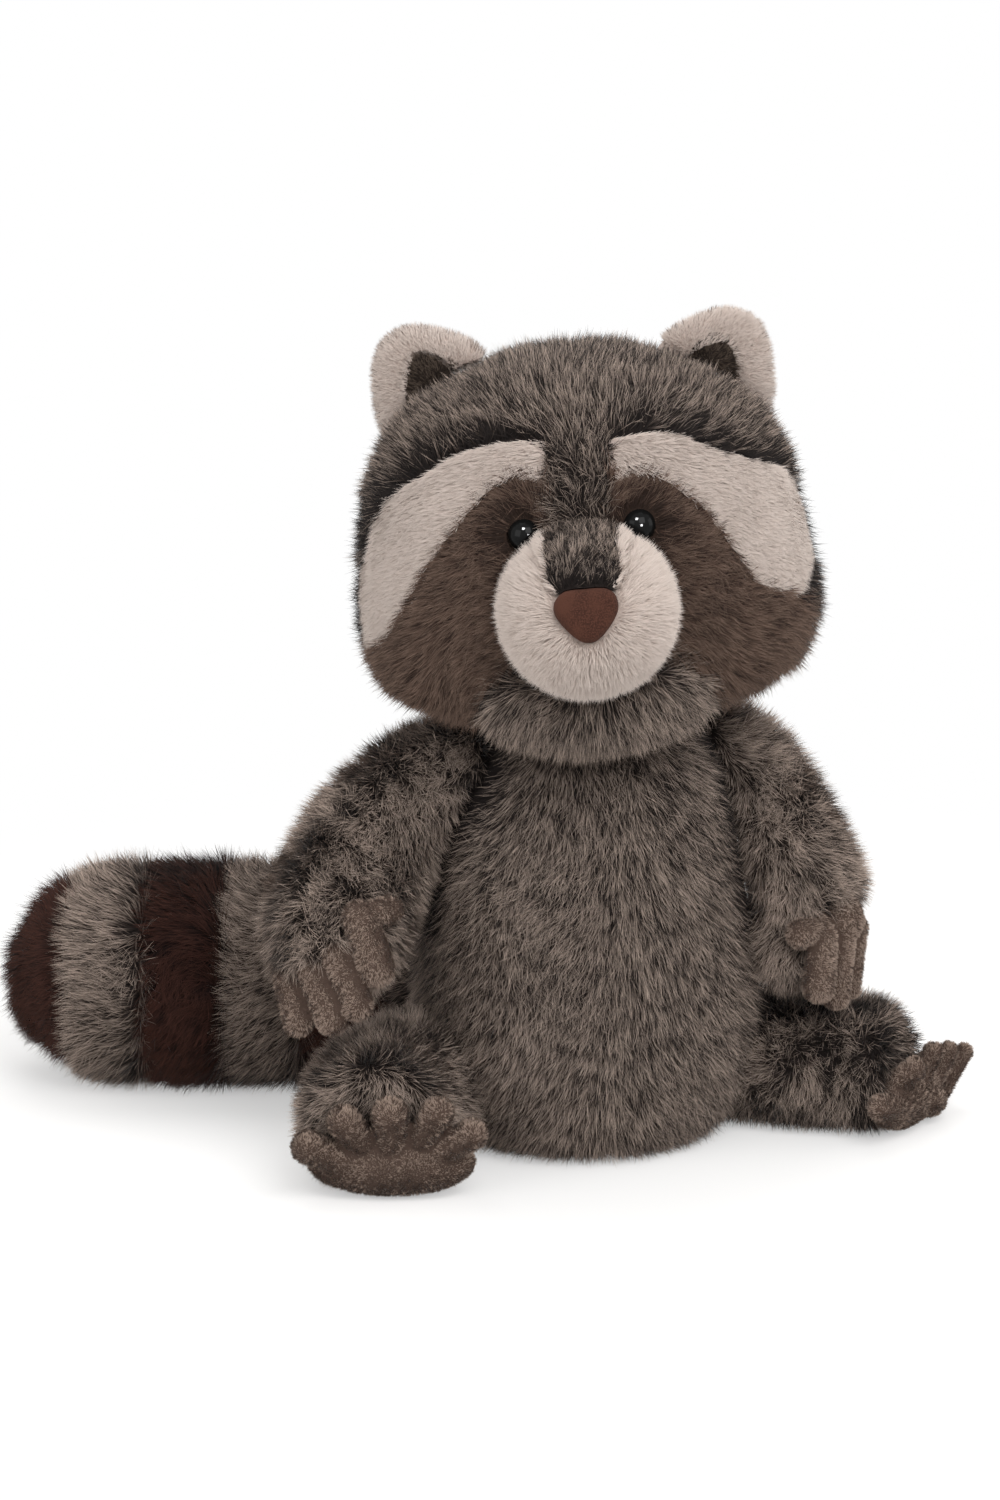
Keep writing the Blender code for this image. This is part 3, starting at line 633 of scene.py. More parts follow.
def add_ball(form, centre, axes, sizes):
    """A closed ball, stretched along three axes, in a bmesh."""
    turn = Matrix(axes).transposed().to_4x4()
    place = Matrix.Translation(Vector(centre)) @ turn @ Matrix.Diagonal((*sizes, 1))
    bmesh.ops.create_uvsphere(form, u_segments=BALL_SIDES, v_segments=BALL_RINGS, radius=1.0, matrix=place)


def add_digit(form, start, end, radius, tip_radius):
    """Balls along a line, close enough together to remesh into one digit."""
    for k in range(DIGIT_BALLS):
        share = k / (DIGIT_BALLS - 1)
        size = radius + (tip_radius - radius) * share
        add_ball(form, np.array(start) * (1 - share) + np.array(end) * share, np.eye(3), (size,) * 3)


def seen(origin, right, up, out):
    """A place given in millimetres to the right, up and towards the viewer from an origin."""
    return np.array(origin) + np.array((right, up, out)) * MM @ TO_VIEWER


print("palms and digits from balls of", BALL_SIDES, "sides")

# %% [markdown]
# The hands hang from under the cuffs, three fingers and a thumb on each. Their places are written in the
# picture's own directions, right, up and towards the viewer, because they were read there. Each size is less
# by the nap that is planted on it.

# %% Hands
NAP = 0.2
WRISTS = {"right": Vector((-92.5, -10, 76)) * MM, "left": Vector((66, -31, 74)) * MM}
PALMS = {"right": ((0, 0, 7), (14, 12, 8)), "left": ((6.5, -3, 9.5), (10, 9.5, 6.5))}
FINGERS = {
    "right": (((9.5, 8, 17), (14.5, -7.5, 19), 6.0, 6.0), ((11, 8.5, 17), (18.5, 10.5, 13), 4.8, 4.6),
              ((2, -4, 15), (8.5, -18.5, 18), 5.4, 5.5), ((-6, -9, 13), (0.8, -23.5, 16), 5.0, 5.2),
              ((-13, -12, 8), (-9.8, -24.5, 12), 4.8, 4.9)),
    "left": (((2, -5, 14), (-4.8, -7.5, 22), 4.8, 5.0), ((2.5, -9, 17), (1.2, -24.5, 20), 5.0, 5.4),
             ((9.5, -8, 10.5), (7.4, -28, 11), 4.6, 4.6), ((14.2, -6, 4), (12.2, -25.5, 3), 4.3, 4.0)),
}

for side in ("left", "right"):
    wrist = WRISTS[side]
    form = bmesh.new()
    palm_place, palm_size = PALMS[side]
    add_ball(form, seen(wrist, *palm_place), TO_VIEWER, np.array(palm_size) * MM)
    for start, end, radius, tip_radius in FINGERS[side]:
        add_digit(form, seen(wrist, *start), seen(wrist, *end), (radius - NAP) * MM, (tip_radius - NAP) * MM)
    node = "hand_" + side
    SKINS[node] = dress(evened(node + "_skin", form, PAW_STEP, 1), node, fill=1.0)


print("hands", {node: len(SKINS[node].data.vertices) for node in ("hand_left", "hand_right")})

# %% [markdown]
# A foot is a flat sole with five toes. The sole of the foot on the toy's right faces the viewer, so its toes
# fan out along its top edge. The other foot points away to the side, and its toes are placed one by one. A
# small web fills the roots of its lower toes.

# %% Feet
ANKLES = {"right": Vector((-85, -32.5, 0)) * MM, "left": Vector((89, -40, 19.5)) * MM}
RIGHT_FOOT_TURN = math.radians(-23)
RIGHT_FOOT_FORWARD = 7 * MM
SOLE_SIZE = np.array((26.5, 8, 10.3)) * MM
SOLE_PLACE = (3.5, 0, 11.2)
TOE_FAN_FROM = (3.5, 4)
TOES = ((-22.5, 18.5, 5.2), (-11, 26.8, 5.3), (3.3, 29, 5.8), (18, 29.8, 5.1), (28.6, 22.7, 4.9))
TOE_LENGTH = 11
TOE_TIP_OUT = 5.5
TOE_ROOT_IN = 3
TOE_ROOT_THINNER = 0.6
LEFT_SOLE_PLACE = (9.5, -8.2, -1)
LEFT_SOLE_TURN = math.radians(40)
LEFT_TOES = (((4, -12, 14), (-2.8, -11.8, 24), 4.3), ((2.4, -5.2, 14), (9.0, 0.4, 17), 3.9),
             ((10.8, -6.0, 4), (15.9, 4.9, 6), 3.4), ((15.6, -8.5, -6), (22.0, 4.6, -4), 3.2),
             ((20.0, -11.0, -15), (28.2, 3.6, -14), 3.0))
LEFT_TOE_WEB = ((15, -11.5, -6), (6.5, 5.5, 10))


def turned(angle):
    """Sideways, back and up directions of a foot that is turned about the upright axis."""
    return np.array(Matrix.Rotation(angle, 3, "Z").transposed())


right_foot, left_foot = bmesh.new(), bmesh.new()
turn = turned(RIGHT_FOOT_TURN)
ankle = np.array(ANKLES["right"]) - turn[1] * RIGHT_FOOT_FORWARD
add_ball(right_foot, ankle + np.array(SOLE_PLACE) * MM @ turn, turn, SOLE_SIZE)
for x, z, radius in TOES:
    away = np.array((x - TOE_FAN_FROM[0], 0, z - TOE_FAN_FROM[1]))
    away /= np.linalg.norm(away)
    tip = np.array((x, -TOE_TIP_OUT, z))
    root = tip - away * TOE_LENGTH + (0, TOE_ROOT_IN, 0)
    add_digit(right_foot, ankle + root * MM @ turn, ankle + tip * MM @ turn, (radius - TOE_ROOT_THINNER) * MM,
              radius * MM)
add_ball(left_foot, seen(ANKLES["left"], *LEFT_SOLE_PLACE), turned(LEFT_SOLE_TURN), SOLE_SIZE)
add_ball(left_foot, seen(ANKLES["left"], *LEFT_TOE_WEB[0]), TO_VIEWER, np.array(LEFT_TOE_WEB[1]) * MM)
for start, end, radius in LEFT_TOES:
    add_digit(left_foot, seen(ANKLES["left"], *start), seen(ANKLES["left"], *end), radius * MM, radius * MM)
for node, form in (("foot_right", right_foot), ("foot_left", left_foot)):
    piece = evened(node + "_skin", form, PAW_STEP, 1)
    flat = points_of(piece.data)
    flat[:, 2] = np.maximum(flat[:, 2], FLOOR_CLEARANCE)
    set_points(piece.data, flat)
    SKINS[node] = dress(piece, node, fill=1.0)
print("feet", {node: len(SKINS[node].data.vertices) for node in ("foot_left", "foot_right")})

# %% [markdown]
# The brow stripes, mask patches, snout bridge and ear linings are flat panels sewn into the forms. Each is
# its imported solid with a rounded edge, so that it reads as a layer of cloth where the pile parts.

# %% Sewn panels
PANELS = ("brow_stripe_left", "brow_stripe_right", "mask_patch_left", "mask_patch_right", "snout_bridge",
          "ear_lining_left", "ear_lining_right")
for node in PANELS:
    piece = new_piece(node + "_skin", welded([node]))
    edge = piece.modifiers.new("edge", "BEVEL")
    edge.width = 0.35 * MM
    edge.segments = 2
    edge.limit_method = "ANGLE"
    edge.angle_limit = math.radians(40)
    SKINS[node] = dress(apply_all(piece), node, fill=0.5)
print("panels", len(PANELS))

# %% [markdown]
# The head is turned and tipped, so its pile needs the head's own directions: right, back and up. Slow swirls
# are added to every lay, as hands leave them in a pile. They are made of a few waves with seeded directions,
# which need no texture.

# %% Directions and swirls
HEAD_CENTRE = Vector((-6, -8.6, 201.5)) * MM
HEAD_TURN = math.radians(-23.5)
HEAD_TIP = math.radians(-5)
HEAD_AXES = np.array((Matrix.Rotation(HEAD_TURN, 3, "Z") @ Matrix.Rotation(HEAD_TIP, 3, "Y")).transposed())
HEAD_RIGHT, HEAD_BACK, HEAD_UP = HEAD_AXES
NOSE = middle_of("nose")
EYES = [middle_of("eye_left"), middle_of("eye_right")]
DOWN = np.array((0.0, 0.0, -1.0))


class Swirl:
    """A smooth random direction at every point, made of waves of about one length."""

    def __init__(self, seed, wave):
        rng = np.random.default_rng(seed)
        count = 7
        ways = rng.normal(size=(3, count, 3))
        ways /= np.linalg.norm(ways, axis=2, keepdims=True)
        self.ways = ways * (2 * math.pi / wave) * rng.uniform(0.7, 1.4, (3, count, 1))
        self.phases = rng.uniform(0, 2 * math.pi, (3, count))

    def at(self, points):
        """Three numbers for each point, each with a spread of about one."""
        waves = [np.sin(points @ self.ways[k].T + self.phases[k]).sum(axis=1) for k in range(3)]
        return np.stack(waves, axis=1) * 0.55


print("face turned", round(math.degrees(HEAD_TURN), 1), "degrees, nose at", (NOSE / MM).round(1))

# %% [markdown]
# Pile leans the way it was brushed. Each piece of cloth has its own lay: down and outwards over the belly,
# up and over the crown, outwards from the nose over the muzzle and the mask, and along the tail towards its
# tip. The lay is a field, a function that gives a direction for any point, so strands that are side by side
# agree. Combing hair particles by hand could do it, but a field can be read and changed.

# %% Lay of the pile
def lay_torso(points, normals):
    """Down the belly and the back, and outwards to the sides."""
    ways = np.zeros_like(points)
    ways[:, 2] = -1
    ways[:, 0] = points[:, 0] / 0.07
    ways[:, 1] = points[:, 1] / 0.12
    return ways


def lay_crown(points, normals):
    """Up the forehead, over the crown and down the nape, and back over the sides."""
    over = np.cross(normals, HEAD_RIGHT)
    side = np.abs(normals @ HEAD_RIGHT)[:, None]
    outward = np.sign((points - np.array(HEAD_CENTRE)) @ HEAD_RIGHT)[:, None] * HEAD_RIGHT
    return over + side * (HEAD_BACK * 0.5 - HEAD_UP * 0.2) + outward * 0.25


def lay_side(points, normals):
    """Back along the side of the head, and a little down."""
    return np.tile(HEAD_BACK * 0.5, (len(points), 1)) + DOWN * 0.3 + normals * 0.3


def lay_from_nose(points, normals):
    return (points - NOSE) / 0.04


def lay_mask(points, normals):
    """Outwards from the nose, and falling over the cheek."""
    ways = points - NOSE
    ways /= np.linalg.norm(ways, axis=1, keepdims=True)
    return ways + DOWN * 0.25


def lay_brow(points, normals):
    """Along the stripe, outwards and down."""
    outward = np.sign((points - np.array(HEAD_CENTRE)) @ HEAD_RIGHT)[:, None] * HEAD_RIGHT
    return outward * 0.9 + DOWN * 0.6


def lay_bridge(points, normals):
    return np.tile(HEAD_UP * 0.9 - HEAD_BACK * 0.1, (len(points), 1))


def lay_throat(points, normals):
    ways = (points - NOSE) / 0.05
    return ways + DOWN * 0.6


def lay_ear(points, normals):
    """Away from the lining in every direction, and up from the head."""
    ways = points - np.array(HEAD_CENTRE)
    ways /= np.linalg.norm(ways, axis=1, keepdims=True)
    for lining in ("ear_lining_left", "ear_lining_right"):
        from_lining = points - middle_of(lining)
        distance = np.linalg.norm(from_lining, axis=1, keepdims=True)
        ways += from_lining / distance * np.clip(2 - distance / (15 * MM), 0, 1)
    return ways


def lay_limb(from_point, to_point):
    """Along a limb."""
    start, end = np.array(from_point), np.array(to_point)
    way = (end - start) / np.linalg.norm(end - start)

    def lay(points, normals):
        return np.tile(way, (len(points), 1))

    return lay


def lay_leg(side):
    """Down over the knee and outwards from the middle of the leg."""
    middle = middle_of("leg_" + side)

    def lay(points, normals):
        ways = (points - middle) / 0.03 * (1, 0.6, 0)
        return ways + DOWN * 0.9

    return lay


def lay_tail(points, normals):
    """Towards the tip along one straight way from the inner ring, and a little down."""
    start, end = middle_of("tail_ring_brown_inner"), middle_of("tail_tip_brown")
    way = (end - start) / np.linalg.norm(end - start)
    return np.tile(way + DOWN * 0.28, (len(points), 1))


ARM_LAY, LEG_LAY, HAND_LAY, FOOT_LAY = {}, {}, {}, {}
for side in ("left", "right"):
    arm, hand, foot = (middle_of(limb + side) for limb in ("arm_", "hand_", "foot_"))
    ARM_LAY[side] = lay_limb(arm + np.array((0, 0, 0.03)), hand)
    LEG_LAY[side] = lay_leg(side)
    HAND_LAY[side] = lay_limb(arm, hand)
    FOOT_LAY[side] = lay_limb(foot, foot + np.array((0, 0, 0.02)))
print("lays along the arms", {side: ARM_LAY[side](np.zeros((1, 3)), None).round(2) for side in ARM_LAY})

# %% [markdown]
# Planting a pile works as a fur machine does, only in numbers: roots are scattered evenly over the cloth,
# each strand rises along the surface's outward direction and bends over into the lay, and strands near each
# other cling into locks. First come the helpers that scatter roots and feel for neighbours. One search tree
# holds every form, so a root that another piece covers can be left out, and a strand that would cross onto
# another panel can be cut shorter, which keeps the edges of the face panels crisp.

# %% Feeling for neighbours
ROOT_SINK = 0.4 * MM
COVERED = 1.6 * MM
PLANTED = {}


def unit(vectors):
    return vectors / np.maximum(np.linalg.norm(vectors, axis=1, keepdims=True), 1e-12)


def triangles_of(mesh):
    mesh.calc_loop_triangles()
    corners = np.empty(len(mesh.loop_triangles) * 3, np.int32)
    mesh.loop_triangles.foreach_get("vertices", corners)
    return corners.reshape(-1, 3)


FORMS = {node: skin.data for node, skin in SKINS.items()}
FORMS["nose"] = NODES["nose"].data
all_points, all_corners, OWNERS = [], [], []
for node, mesh in FORMS.items():
    all_corners.append(triangles_of(mesh) + sum(len(points) for points in all_points))
    all_points.append(points_of(mesh))
    OWNERS += [node] * len(all_corners[-1])
EVERYTHING = BVHTree.FromPolygons(np.concatenate(all_points).tolist(), np.concatenate(all_corners).tolist())
OWNERS = np.array(OWNERS)
print("search tree of", len(OWNERS), "triangles")


def scatter(rng, mesh, density):
    """Random points on a mesh and its smooth normals there."""
    corners = triangles_of(mesh)
    points, normals = points_of(mesh), normals_of(mesh)
    a, b, c = (points[corners[:, k]] for k in range(3))
    areas = np.linalg.norm(np.cross(b - a, c - a), axis=1) / 2
    reach = np.cumsum(areas)
    count = int(reach[-1] * density)
    chosen = np.searchsorted(reach, rng.random(count) * reach[-1])
    u, v = rng.random((2, count))
    flip = u + v > 1
    u[flip], v[flip] = 1 - u[flip], 1 - v[flip]
    shares = np.stack((1 - u - v, u, v), axis=1)[:, :, None]
    places = (points[corners[chosen]] * shares).sum(axis=1)
    ups = unit((normals[corners[chosen]] * shares).sum(axis=1))
    return places, ups


def open_room(places, ups, reach):
    """How far each strand can rise before it meets a form; zero where it is covered."""
    room = np.full(len(places), reach)
    for index, (place, up) in enumerate(zip((places + ups * 0.15 * MM).tolist(), ups.tolist())):
        hit, normal, _, distance = EVERYTHING.ray_cast(place, up, reach)
        if hit is not None:
            room[index] = 0 if normal.dot(Vector(up)) > 0 or distance < COVERED else distance
    return room


def owners_at(places):
    """The names of the forms that lie nearest to some places."""
    return OWNERS[np.array([EVERYTHING.find_nearest(place)[2] for place in places.tolist()], dtype=int)]


def locks(rng, places, strands_per_lock):
    """For each strand, the strand at the middle of its lock."""
    count = max(1, int(len(places) / strands_per_lock))
    middles = rng.choice(len(places), count, replace=False)
    tree = KDTree(count)
    for number, index in enumerate(middles):
        tree.insert(places[index], number)
    tree.balance()
    return middles[np.array([tree.find(place)[1] for place in places.tolist()])]


# %% [markdown]
# All strands of one piece of cloth become one mesh, filled in whole arrays, because adding a hundred thousand
# strands one by one would take minutes. A strand is a thin triangle: two corners at its root and one at its
# tip. Each has a small cell of its own in the bake map, so that an exported copy can hold its colours.

# %% Strands as one mesh
CORNERS = 3
CORNERS_ALONG = (0, 0, 1)
CORNERS_IN_CELL = np.array(((0.05, 0.05), (0.95, 0.05), (0.5, 0.95)))


def strand_mesh(name, slot, corners, tone_and_shade, soft):
    """One mesh of all the strands, with their numbers for colour and a bake map of one cell a strand."""
    count = len(corners)
    mesh = bpy.data.meshes.new(name)
    mesh.vertices.add(count * CORNERS)
    set_points(mesh, corners)
    mesh.loops.add(count * CORNERS)
    mesh.loops.foreach_set("vertex_index", np.arange(count * CORNERS, dtype=np.int32))
    mesh.polygons.add(count)
    mesh.polygons.foreach_set("loop_start", np.arange(0, count * CORNERS, CORNERS, dtype=np.int32))
    mesh.update(calc_edges=True)
    for attribute, values in (("along", np.tile(CORNERS_ALONG, count)), ("tone_and_shade", np.repeat(tone_and_shade, CORNERS))):
        layer = mesh.attributes.new(attribute, "FLOAT", "POINT")
        layer.data.foreach_set("value", values.astype(np.float32))
    columns = math.ceil(math.sqrt(count))
    cells = np.stack((np.arange(count) % columns, np.arange(count) // columns), axis=1)
    uv = (cells[:, None, :] + CORNERS_IN_CELL) / columns
    mesh.uv_layers.new(name="OFBake").data.foreach_set("uv", uv.astype(np.float32).ravel())
    mesh.materials.append(STRANDS[slot])
    mesh.shade_smooth()
    mesh.normals_split_custom_set_from_vertices(np.repeat(soft, CORNERS, axis=0).tolist())
    piece = bpy.data.objects.new(name, mesh)
    bpy.context.scene.collection.objects.link(piece)
    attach(piece, "root")
    PLANTED[name] = count
    return piece


# %% [markdown]
# Shade is painted into the velvety nap in the creases between fingers and toes, and light onto the rounded
# tops of the digits. To find a crease, the form is compared with a smoothed copy of itself: smoothing pushes
# hollows out and bumps in, so the push along the surface's outward direction says how hollow a place is.

# %% Hollows of a form
def hollows(node, smoothing=22):
    """A function that says how hollow a form is at some places: zero on plain ground, negative on bumps."""
    skin = SKINS[node]
    soften = skin.modifiers.new("soften", "SMOOTH")
    soften.factor = 0.5
    soften.iterations = smoothing
    bpy.context.view_layer.update()
    softened = skin.evaluated_get(bpy.context.evaluated_depsgraph_get()).to_mesh()
    push = ((points_of(softened) - points_of(skin.data)) * normals_of(skin.data)).sum(axis=1) / MM
    skin.modifiers.clear()
    tree = KDTree(len(push))
    for index, point in enumerate(points_of(skin.data).tolist()):
        tree.insert(point, index)
    tree.balance()

    def at(places):
        return push[[tree.find(place)[1] for place in places.tolist()]]

    return at


# %% [markdown]
# A panel's edge is where one pile stops and the next one starts, and on a toy this soft the pile decides it
# more than the cut of the cloth. So each brow and ear lining has an outline, in millimetres to the right and
# up as the photographer saw it, and a strand takes its dye from the outline that its root is in. It is a
# choice made once, when the strand is planted: nothing follows the camera when it moves.

# %% Outlines of the face panels
CAMERA_PLACE = np.array(camera.matrix_world.translation)
BROW_OUTLINES = (
    ((15.8, 101.7), (6.9, 102.3), (-5.3, 100.3), (-17.8, 95.1), (-28.1, 88.8), (-36.3, 82.8), (-39.9, 76.6),
     (-42.6, 65.2), (-45.5, 52.8), (-46.9, 44.6), (-45.5, 37.3), (-41.6, 34.0), (-37.3, 36.3), (-33.3, 43.6),
     (-29.0, 50.8), (-23.9, 60.1), (-17.8, 68.3), (-12.5, 75.6), (-6.3, 82.8), (-0.3, 88.3), (5.9, 91.6),
     (12.9, 89.9), (15.8, 89.9)),
    ((35.9, 102.3), (46.2, 104.8), (58.6, 104.0), (71.0, 99.0), (81.2, 96.4), (91.6, 93.7), (96.0, 87.8),
     (99.8, 77.6), (101.7, 70.3), (100.7, 61.1), (98.7, 53.1), (94.7, 52.5), (89.4, 54.5), (83.3, 56.1),
     (80.2, 61.1), (76.1, 67.3), (71.0, 74.6), (65.7, 80.5), (60.7, 84.8), (54.5, 88.8), (48.2, 92.1),
     (42.1, 92.1), (37.3, 89.9)),
)
LINING_OUTLINES = (
    ((-27.9, 131.0), (-21.5, 130.2), (-13.2, 127.1), (-14.0, 121.5), (-22.3, 115.5), (-30.0, 112.9),
     (-30.5, 118.8), (-29.7, 123.8)),
    ((73.4, 134.3), (67.7, 133.0), (61.1, 129.1), (66.8, 125.8), (71.8, 122.5), (77.9, 117.5), (78.4, 123.8),
     (77.2, 129.7), (75.6, 133.0)),
)


def inside(places, ups, outlines):
    """Which places face the photographer and lie inside one of the outlines (even-odd rule)."""
    away = places - CAMERA_PLACE
    across, high = (away @ TO_VIEWER[:2].T / -(away @ TO_VIEWER[2])[:, None] * VIEW_DISTANCE / MM).T
    within = np.zeros(len(places), bool)
    for outline in outlines:
        for (x0, y0), (x1, y1) in zip(outline, outline[1:] + outline[:1]):
            crosses = (y0 > high) != (y1 > high)
            rise = (y1 - y0) or 1
            within ^= crosses & (across < (x1 - x0) * (high - y0) / rise + x0)
    return within & (ups @ TO_VIEWER[2] > 0)


print("outline points", sum(len(outline) for outline in BROW_OUTLINES + LINING_OUTLINES))

# %% [markdown]
# Each strand needs a root, room to stand in and a way to bend. It bends over in two steps, its lower half
# less than its upper one, and a few stray strands stand more upright than the rest. Close to an eye the pile
# is shorter and parts round the dome. A strand that would end on another panel, or over another outline, is
# cut back.

# %% Roots and bends of the strands
EYE_PARTING = 10.5 * MM
FACES_OUT = 0.25
ROOM_USED = 1.1
SHORTEST = 0.35
CUT_BACK = 0.6
STRAY_LEAN = 0.4
LOW_BEND = 0.72
HIGH_BEND = 1.18
TWIST = 0.9
LEAN_LIMITS = (5, 86)
FLATTEST = math.radians(88)
LENGTH_LIMITS = (-1.8, 1.8)
WIDTH_SPREAD = (0.75, 1.25)
PULL_SPREAD = (0.3, 1.0)


def roots_of(rng, node, length, density, smooth_over, only):
    """Where the strands of a pile grow, which way is up there, and how much room each one has."""
    places, ups = scatter(rng, SKINS[node].data, density)
    if smooth_over is not None:
        tree, corners, normals = smooth_over
        found = np.array([tree.find_nearest(place)[2] for place in places.tolist()])
        rounded = unit(normals[corners[found]].mean(axis=1))
        outer = (rounded * ups).sum(axis=1) > FACES_OUT
        places, ups = places[outer], rounded[outer]
    if only is not None:
        grows = only(places, ups)
        places, ups = places[grows], ups[grows]
    room = open_room(places, ups, length)
    kept = (room > 0) & (places[:, 2] > 2 * FLOOR_CLEARANCE)
    return places[kept], ups[kept], room[kept]


def part_round_eyes(places, ways, lengths):
    """Turns the strands near an eye away from it and shortens them, in place."""
    for eye in EYES:
        away = places - eye
        near = np.clip((EYE_PARTING - np.linalg.norm(away, axis=1)) / (EYE_PARTING / 2), 0, 1)[:, None]
        ways += unit(away) * near * 2
        lengths *= 1 - 0.5 * near[:, 0]


def bends(rng, ups, ways, lean, lean_spread, strays):
    """The directions of the lower and the upper half of each strand. A lean of 90 degrees lies flat."""
    flat = unit(ways - ups * (ways * ups).sum(axis=1, keepdims=True))
    lean_each = lean + rng.normal(size=len(ups)) * lean_spread
    lean_each[rng.random(len(ups)) < strays] *= STRAY_LEAN
    tilt = np.radians(np.clip(lean_each, *LEAN_LIMITS))[:, None]
    low_tilt, high_tilt = tilt * LOW_BEND, np.minimum(tilt * HIGH_BEND, FLATTEST)
    low_way = ups * np.cos(low_tilt) + flat * np.sin(low_tilt)
    high_way = ups * np.cos(high_tilt) + flat * np.sin(high_tilt)
    return low_way, high_way


def cut_back(roots, ups, both_ways, lengths, clear_of, keep_off):
    """Shortens, in place, the strands that would end on a form or over an outline that isn't theirs."""
    if clear_of:
        checked = np.arange(len(roots))
        for _ in range(3):
            ends = roots[checked] + lengths[checked, None] * 0.5 * both_ways[checked]
            checked = checked[np.isin(owners_at(ends), clear_of)]
            lengths[checked] *= CUT_BACK
    if keep_off:
        ends = roots + lengths[:, None] * 0.5 * both_ways
        lengths[inside(ends, ups, keep_off)] *= CUT_BACK


print("eyes part the pile within", round(EYE_PARTING / MM, 1), "mm")

# %% [markdown]
# The planting itself puts it all together. Strands cling to the leader of their lock, which pulls their tips
# together and shares its tone, and the locks are what makes long pile look tousled instead of like grass.
# Each strand is turned a little on its own axis, so that it catches the light in its own way.

# %% Planting a pile
def blades(rng, roots, tips, ups, width, softness):
    """The three corners of every strand, and a normal that is partly its own and partly the form's."""
    across = unit(np.cross(tips - roots, ups))
    faces_out = unit(np.cross(across, tips - roots))
    twist = rng.uniform(-TWIST, TWIST, (len(roots), 1))
    across = across * np.cos(twist) + faces_out * np.sin(twist)
    half = across * width / 2 * rng.uniform(*WIDTH_SPREAD, (len(roots), 1))
    soft = unit(ups * softness + unit(np.cross(across, tips - roots)) * (1 - softness))
    return np.stack((roots - half, roots + half, tips), axis=1), soft


def plant(name, node, lay, length, width, density, lean=62, lean_spread=9, swirl=0.5, swirl_wave=22 * MM,
          tousle=0.25, tousle_wave=5 * MM, frizz=0.15, cling=0.36, per_lock=5, length_spread=0.2,
          smooth_over=None, clear_of=(), keep_off=(), tone_pull=0.48, drift=0.10, drift_wave=3.5 * MM,
          shade=None, trim=None, only=None, slot=None, strays=0.06, softness=0.55):
    """Plants one pile on the skin of a node. Lengths are in metres and density is per square metre."""
    rng = np.random.default_rng(SEED + len(PLANTED))
    places, ups, room = roots_of(rng, node, length, density, smooth_over, only)
    count = len(places)
    if not count:
        return None
    ways = unit(lay(places, ups)) + Swirl(SEED + 1, swirl_wave).at(places) * swirl
    ways += Swirl(SEED + 2, tousle_wave).at(places) * tousle + rng.normal(size=(count, 3)) * frizz
    lengths = length * (1 + length_spread * np.clip(rng.normal(size=count), *LENGTH_LIMITS))
    lengths = np.minimum(lengths, np.maximum(room * ROOM_USED, length * SHORTEST))
    part_round_eyes(places, ways, lengths)
    if trim is not None:
        lengths *= trim(places)
    low_way, high_way = bends(rng, ups, ways, lean, lean_spread, strays)
    roots = places - ups * ROOT_SINK
    cut_back(roots, ups, low_way + high_way, lengths, clear_of, keep_off)
    tips = roots + lengths[:, None] * 0.5 * low_way + lengths[:, None] * 0.5 * high_way
    tone_and_shade = rng.random(count)
    leader = locks(rng, places, per_lock)
    pull = cling * rng.uniform(*PULL_SPREAD, (count, 1)) * (lengths / lengths.max())[:, None]
    tips += (tips[leader] - tips) * pull
    tone_and_shade = tone_and_shade * (1 - tone_pull) + tone_and_shade[leader] * tone_pull
    tone_and_shade += Swirl(SEED + 3, drift_wave).at(places)[:, 0] * drift
    # Painted shade: it lowers the strand's tone, which darkens its colour; a negative shade paints light.
    if shade is not None:
        tone_and_shade -= shade(places)
    for points in (roots, tips):
        points[:, 2] = np.maximum(points[:, 2], FLOOR_CLEARANCE)
    corners, soft = blades(rng, roots, tips, ups, width, softness)
    return strand_mesh(name, slot or SLOT_OF[node], corners, np.clip(tone_and_shade, 0, 1), soft)


print("a strand's root sits", round(ROOT_SINK / MM, 1), "mm in the cloth")

# %% [markdown]
# Where two forms meet, little light gets in and the pile is pressed short. Both follow from how near a strand
# stands to the other form's imported solid, so one measure of nearness gives a painted shade for the tone and
# a trim for the length.

# %% Shade and trim near other forms
ARMS = ("arm_left", "arm_right", "hand_left", "hand_right")


def nearness(places, nodes, reach):
    """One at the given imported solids, falling to zero at the reach."""
    tree = tree_of(nodes)
    found = [tree.find_nearest(place, reach)[3] for place in places.tolist()]
    return 1 - np.array([reach if distance is None else distance for distance in found]) / reach


def painted_shade_by(nodes, reach, depth, everywhere=0.0):
    """Painted shade for strands that stand close to another form, where little light gets in, and an even
    amount everywhere, which is painted light where it is negative.
    """
    return lambda places: nearness(places, nodes, reach) * depth + everywhere


def short_by(nodes, reach, cut):
    """A trim for strands that stand close to another form, so that the gap between them stays open."""
    return lambda places: 1 - nearness(places, nodes, reach) * cut


def painted_shade_by_arms_and_ruff(places):
    """Painted shade on the belly: deep where an arm lies on it, and a little under the ruff."""
    return np.maximum(nearness(places, ARMS, 12 * MM), nearness(places, ("chin_ruff",), 7 * MM) * 0.3)


print("shade and trim by nearness to", ARMS)

# %% [markdown]
# The long heathered pile covers the body. It is about ten millimetres long and leans well over, so the toy's
# outline is only a few millimetres outside its cloth. The limbs are more tousled than the belly, because
# they are narrow and get handled, and the tail has the longest pile.

# %% Long pile of the body, limbs and tail
PER_MM2 = 1e6
LONG_WIDTH = 0.38 * MM
LIMB_WIDTH = 0.37 * MM
TAIL_WIDTH = 0.4 * MM
# Painted shade added to each limb's tone, where a negative value is painted light: it evens out how the lamps
# fall on the limbs, and on the arms it also stands for their paler, ruffled tips.
LIMB_PAINTED_SHADE_AND_LIGHT = {"arm_left": -0.21, "arm_right": -0.21, "leg_left": 0.05, "leg_right": -0.14}
TAIL_PAINTED_LIGHT = -0.14


def painted_light_on_tail(places):
    """Painted light: the whole tail's tone is lifted evenly, so fewer of its strands come out dark and the
    rest are paler.
    """
    return np.full(len(places), TAIL_PAINTED_LIGHT)


